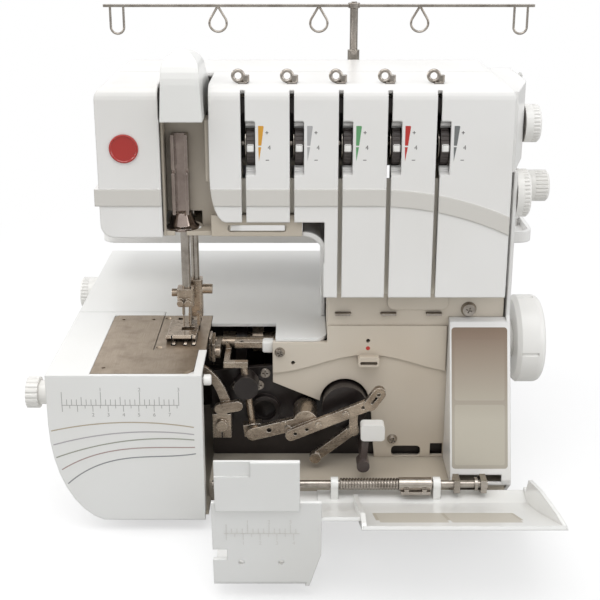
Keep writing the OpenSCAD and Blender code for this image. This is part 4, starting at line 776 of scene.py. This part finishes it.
# curved ends of the windows in the head
WINDOW_HALF, RAMP_RISE, RAMP_RUN = 18, 5.9, 5.5
ramps = []
for x in SLOTS:
    for side in (-1, 1):
        curve = [(45.1 + RAMP_RISE * math.sin(math.radians(t)),
                  WINDOW_Z + side * (WINDOW_HALF - RAMP_RUN * (1 - math.cos(math.radians(t)))))
                 for t in range(0, 91, 10)]
        outline = [(47.5, WINDOW_Z + side * (WINDOW_HALF + 1)),
                   (45.1, WINDOW_Z + side * (WINDOW_HALF + 1))]
        outline += curve + [(51, WINDOW_Z + side * 14.5)]
        ramps.append(joined(outline, "x", x + 1.45, x + 8.35))
carved("window_ramps", ramps, at, shell_white, "frame")


def build_guide_bar():
    """Flat bar with three drop-shaped wire guides and an open loop at each end."""
    shape = bmesh.new()
    middle, pitch, d, z = 15.5, 76.2, 184, 333
    half_wide, thick = 2.25, 2
    far_left, far_right = middle - 2 * pitch - 8, middle + 2 * pitch + 8
    for u0, u1 in ((far_left, 38.5), (45.5, far_right)):
        outline = rounded_outline(u0 - half_wide, u1 + half_wide, d - half_wide, d + half_wide,
                                  2.2, 8)
        ends = [[shape.verts.new(at(u, v, h)) for u, v in outline] for h in (z, z + thick)]
        for end in ends:
            shape.faces.new(end)
        close_sides(shape, *ends)
    # hub, a ring on the rod's end
    hub_x, turns = 42, 40
    profile = [(2.1, -0.8), (4.1, -0.8), (4.5, -0.4), (4.5, 2.8), (4.1, 3.2), (2.1, 3.2)]
    rows = [[shape.verts.new(at(hub_x + r * math.cos(math.tau * k / turns),
                                d + r * math.sin(math.tau * k / turns), z + h))
             for r, h in profile] for k in range(turns)]
    for k in range(turns):
        following = rows[(k + 1) % turns]
        for i in range(len(profile)):
            j = (i + 1) % len(profile)
            shape.faces.new((rows[k][i], following[i], following[j], rows[k][j]))
    # wires: drops on the three inner guides, open loops on the outer two
    wire_r, loop_r, eye_r, eye_z = 0.9, 5, 6.5, -12
    drop = math.acos(6.5 / 12)
    loop = [math.pi * i / 16 for i in range(17)]
    eye = [drop + (math.tau - 2 * drop) * i / 28 for i in range(29)]
    for k in range(-2, 3):
        if abs(k) == 2:
            path = [(loop_r, 0.6), (loop_r, -7)]
            path += [(loop_r * math.cos(t), -15 - loop_r * math.sin(t)) for t in loop]
            path += [(-loop_r, -7), (-loop_r, 0.6)]
        else:
            path = [(0, 0.6)]
            path += [(eye_r * math.sin(t), eye_z + eye_r * math.cos(t)) for t in eye]
            path += [(0, 0.6)]
        wire = bpy.data.curves.new("wire", "CURVE")
        wire.dimensions, wire.use_fill_caps = "3D", True
        wire.bevel_depth, wire.bevel_resolution = wire_r * MM, 4
        line = wire.splines.new("POLY")
        line.points.add(len(path) - 1)
        for point, (u, v) in zip(line.points, path):
            point.co = (*at(middle + pitch * k + u, d, z + v), 1)
        held = put("wire", wire)
        shape.from_mesh(final_mesh(held))
        bpy.data.objects.remove(held)
    bmesh.ops.recalc_face_normals(shape, faces=shape.faces)
    bar = piece("guide_bar_wires", settle(shape, "guide_bar_wires"), bright_chrome, "guide_bar")
    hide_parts("guide_bar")


build_guide_bar()


# ------------------------------------------------------------------ floor, light and camera

FLOOR_HALF = 6.0
FLOOR_GLOW = 0.6  # share of plain white in the paper right under the machine
PAPER_SEEN, PAPER_LIT = (0.93, 0.93, 0.93, 1), (0.5, 0.5, 0.49, 1)
WHITE = (1, 1, 1, 1)


def build_floor():
    """Pale paper that keeps the machine's shadow and fades to plain white away from it."""
    shape = bmesh.new()
    bmesh.ops.create_grid(shape, x_segments=1, y_segments=1, size=FLOOR_HALF)
    mesh = settle(shape, "studio_floor")
    floor = put("studio_floor", mesh)
    made = bpy.data.materials.new("studio_floor_paint")
    made.use_nodes = True
    tree = made.node_tree
    paint = tree.nodes["Principled BSDF"]
    paint.inputs["Roughness"].default_value = 0.9
    far = step(tree, "VectorMath", {0: own_place(tree)}, operation="LENGTH")
    fade = spread(tree, far.outputs["Value"], 0.2, 0.75, FLOOR_GLOW, 1.0)
    direct = step(tree, "LightPath").outputs["Is Camera Ray"]
    feed(tree, paint, {"Base Color": blend(tree, direct, PAPER_LIT, PAPER_SEEN)})
    seen = sums(tree, "MULTIPLY", direct, fade)
    white = step(tree, "Emission", {"Color": WHITE, "Strength": 1.0})
    mix = step(tree, "MixShader", {0: seen, 1: paint.outputs[0], 2: white.outputs[0]})
    feed(tree, tree.nodes["Material Output"], {"Surface": mix.outputs[0]})
    mesh.materials.append(made)


def build_world():
    """White round the machine, and a soft light on it that grows from the horizon upwards."""
    world = bpy.data.worlds.new("studio_air")
    world.use_nodes = True
    bpy.context.scene.world = world
    tree = world.node_tree
    path = step(tree, "LightPath").outputs
    seen = sums(tree, "MAXIMUM", path["Is Camera Ray"], path["Is Glossy Ray"])
    seen = sums(tree, "MAXIMUM", seen, path["Is Transmission Ray"])
    height = step(tree, "SeparateXYZ", {0: step(tree, "TexCoord").outputs["Generated"]})
    strength = spread(tree, height.outputs["Z"], 0.0, 0.9, 0.62, 1.0)
    soft = step(tree, "Background", {"Color": (0.985, 0.99, 1.0, 1), "Strength": strength})
    white = step(tree, "Background", {"Color": WHITE, "Strength": 1.0})
    mix = step(tree, "MixShader", {0: seen, 1: soft.outputs[0], 2: white.outputs[0]})
    feed(tree, tree.nodes["World Output"], {"Surface": mix.outputs[0]})


def softbox(name, place, aim, size, power, colour=(1, 1, 1)):
    """A rectangular studio lamp that faces the place it is aimed at."""
    lamp = bpy.data.lights.new(name, "AREA")
    lamp.shape = "RECTANGLE"
    lamp.size, lamp.size_y = size
    lamp.energy = power
    lamp.color = colour
    held = put(name, lamp)
    held.location = place
    held.rotation_euler = (Vector(aim) - Vector(place)).to_track_quat("-Z", "Y").to_euler()


build_floor()
build_world()
softbox("softbox_above", (-0.1, -0.45, 1.3), (0, 0, 0.2), (1.2, 0.8), 6.4)
softbox("softbox_left", (-1.45, 0.1, 0.75), (0, 0, 0.12), (0.9, 0.9), 7.0, (1, 0.99, 0.97))
softbox("softbox_right", (1.5, -0.6, 0.7), (0, 0, 0.15), (0.9, 0.9), 5.0, (0.98, 0.99, 1))

CAMERA_DOWN = 16.9  # degrees below level
camera = put("camera", bpy.data.cameras.new("camera"))
camera.location = (0.00125, FRONT - 0.628, 0.4057)
camera.rotation_euler = (math.radians(90 - CAMERA_DOWN), 0, 0)
camera.data.lens = 63.6
camera.data.sensor_width = 36.0
camera.data.shift_y = -0.12
camera.data.clip_start = 0.01
bpy.context.scene.camera = camera
bpy.context.scene.view_settings.view_transform = "Standard"
